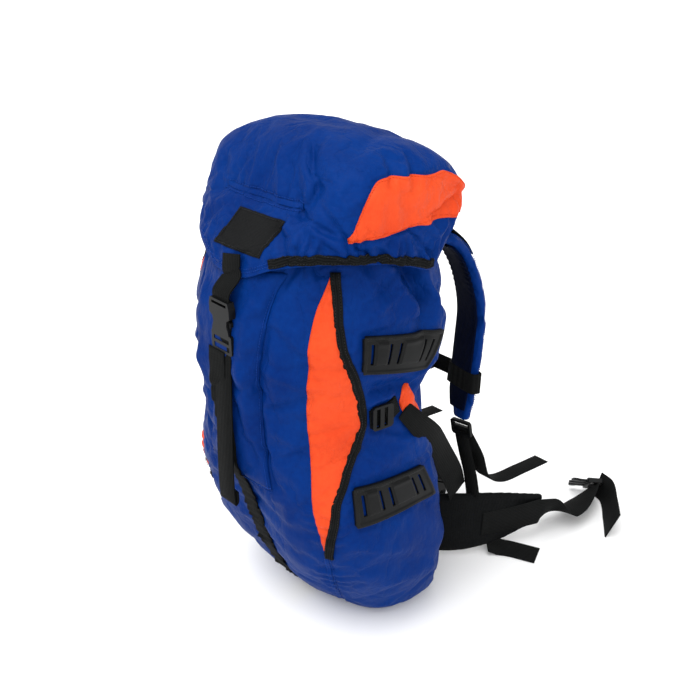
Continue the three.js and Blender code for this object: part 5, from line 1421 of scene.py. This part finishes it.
def belt_webbing():
    on_wing = {side: [wing_face(side, section) for section in (4, 5, 6, 7)] for side in (1, -1)}
    turns = [[0, 0, 0.8], [0.36, 0, 0.9], [0.52, 50, 1], [0.66, 85, 1], [0.85, 60, 1], [1, 35, 1]]
    points = [*on_wing[1], *(spot(1, row) for row in BELT_RIGHT)]
    band("belt_right", "belt_webbing_right", points, BELT_WEB, (0, 0, 1), turns, count=110)
    folds = [[0, 0, 0.8], [0.36, 0, 0.9], [0.6, -60, 1], [0.75, -90, 1], [1, -90, 1]]
    points = [*on_wing[-1], *(spot(-1, row) for row in BELT_LEFT)]
    band("belt_left", "belt_webbing_left", points, BELT_WEB, (0, 0, 1), folds, count=110)
    start = spot(1, PLUG_MOUTH) - PLUG_WAY * (PLUG_LENGTH - 0.004)
    points = [start, *(spot(1, row) for row in BELT_TAIL)]
    band("belt_end", "belt_tail", points, BELT_WEB, TAIL_ACROSS, [[0, 0, 0.9], [1, 0, 1]],
                count=60)


# Back
def back_seams(co):
    """Held round the edge and along the channels of the back pads."""
    low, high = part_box("back_panel")
    edge = np.minimum(np.minimum(co[:, 2] - low.z, high.z - co[:, 2]), high.x - np.abs(co[:, 0]))
    return np.maximum(1 - step_up(edge, 0.004, 0.009), 0.9 * bell(co[:, 0], 0.008))


def back_shape(co):
    """A deep channel down the middle for air, and sewn lines across each side pad."""
    behind = co[:, 1] > np.median(co[:, 1])
    groove = 0.006 * bell(co[:, 0], 0.011)
    for z in (0.235, 0.315, 0.395):
        groove = np.maximum(groove, 0.003 * bell(co[:, 2] - z - np.abs(co[:, 0]) * 0.25, 0.005))
    out = co.copy()
    out[:, 1] -= np.where(behind, groove, 0)
    return out


def lumbar_shape(co):
    low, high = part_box("lumbar_pad")
    behind = co[:, 1] > low.y + (high.y - low.y) * 0.55
    groove = 0.004 * bell(np.abs(co[:, 0]) - 0.034, 0.005)
    out = co.copy()
    out[:, 1] -= np.where(behind, groove, 0)
    return out


def back_pads():
    for node, name, cap, shape, seams in (
        ("back_panel", "back_pad", 0.005, back_shape, back_seams),
        ("lumbar_pad", "lumbar", 0.005, lumbar_shape, lambda co: 0 * co[:, 0] + (co[:, 1] < 0.045)),
    ):
        piece = plump(soft_copy(node, name, LOOKS["black_padding"], 0.0042), 3, cap, seams)
        set_vertices(piece, shape(vertices_of(piece)))
        rounded(piece)
        finish_piece(piece, "black_padding", node)


HARD_NODES = [
    "lid_buckle_socket", "lid_buckle_plug", "side_ladder_lock_right", "side_ladder_lock_left",
    "sternum_buckle", "shoulder_lock_right", "shoulder_lock_left", "belt_buckle_plug", "belt_buckle_socket",
]


def hard_pieces():
    for name in HARD_NODES:
        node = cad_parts[name]
        node.data.materials.clear()
        node.data.materials.append(LOOKS["black_plastic"])
        bevel(node, 0.0008)


# Floor, light and camera
def studio():
    look = Look("floor")
    metres = coordinates(look, "Object", (1, 1, 1))
    tone = noise_node(look, metres, 3, 2)
    look.links.new(ramp(look, tone, [(0.2, (0.95, 0.95, 0.95)), (0.8, (0.97, 0.97, 0.97))]),
              look.shader.inputs["Base Color"])
    look.shader.inputs["Roughness"].default_value = 0.9
    bpy.ops.mesh.primitive_plane_add(size=80, location=(0, 0, 0))
    floor = bpy.context.object
    floor.name = "floor"
    floor.data.materials.append(look.material)
    world = bpy.data.worlds.new("studio")
    bpy.context.scene.world = world
    world.use_nodes = True
    world.node_tree.nodes["Background"].inputs["Color"].default_value = (1, 1, 1, 1)
    world.node_tree.nodes["Background"].inputs["Strength"].default_value = 0.85
    for name, place, angle, power in (
        ("key", (-0.1, -0.7, 1.6), 50, 2.4),
        ("fill", (1.4, -0.6, 0.9), 70, 1.1),
    ):
        data = bpy.data.lights.new(name, "SUN")
        data.angle = math.radians(angle)
        data.energy = power
        light = bpy.data.objects.new(name, data)
        bpy.context.scene.collection.objects.link(light)
        light.location = place
        light.rotation_euler = (-Vector(place)).to_track_quat("-Z", "Y").to_euler()


AZIMUTH, ELEVATION, DISTANCE = 48, 25, 1.2
TARGET = Vector((0, 0, 0.35))
LENS = 46.29


def camera():
    a, e = math.radians(AZIMUTH), math.radians(ELEVATION)
    back = Vector((math.sin(a) * math.cos(e), -math.cos(a) * math.cos(e), math.sin(e)))
    data = bpy.data.cameras.new("camera")
    data.lens = LENS
    data.sensor_width = 36
    made = bpy.data.objects.new("camera", data)
    bpy.context.scene.collection.objects.link(made)
    made.location = TARGET + back * DISTANCE
    made.rotation_euler = (-back).to_track_quat("-Z", "Y").to_euler()
    bpy.context.scene.camera = made
    bpy.context.scene.view_settings.view_transform = "Standard"


pack_body()
both_sides(front_crescent)
both_sides(front_binding)
both_sides(rear_leaf)
front_pocket()
seam_piping()
for kind in PATCHES:
    both_sides(lambda side, hand: lash_patch(side, hand, kind))
lid_cloth()
both_sides(lid_end_panel)
both_sides(lid_hem)
lid_seams()
lid_label()
front_strap()
both_sides(side_strap)
pad_pair("shoulder_strap", "strap_pad", STRAP_BLUE, "blue_nylon", 4, 0.003, strap_seams, strap_shape)
both_sides(shoulder_lining)
both_sides(strap_trim)
both_sides(strap_edges)
both_sides(shoulder_webbing)
pad_pair("hip_wing", "wing_pad", LOOKS["black_padding"], "black_padding", 4, 0.003, wing_seams,
         wing_shape)
both_sides(hip_stabiliser)
both_sides(hip_tail)
belt_webbing()
back_pads()
hard_pieces()
studio()
camera()
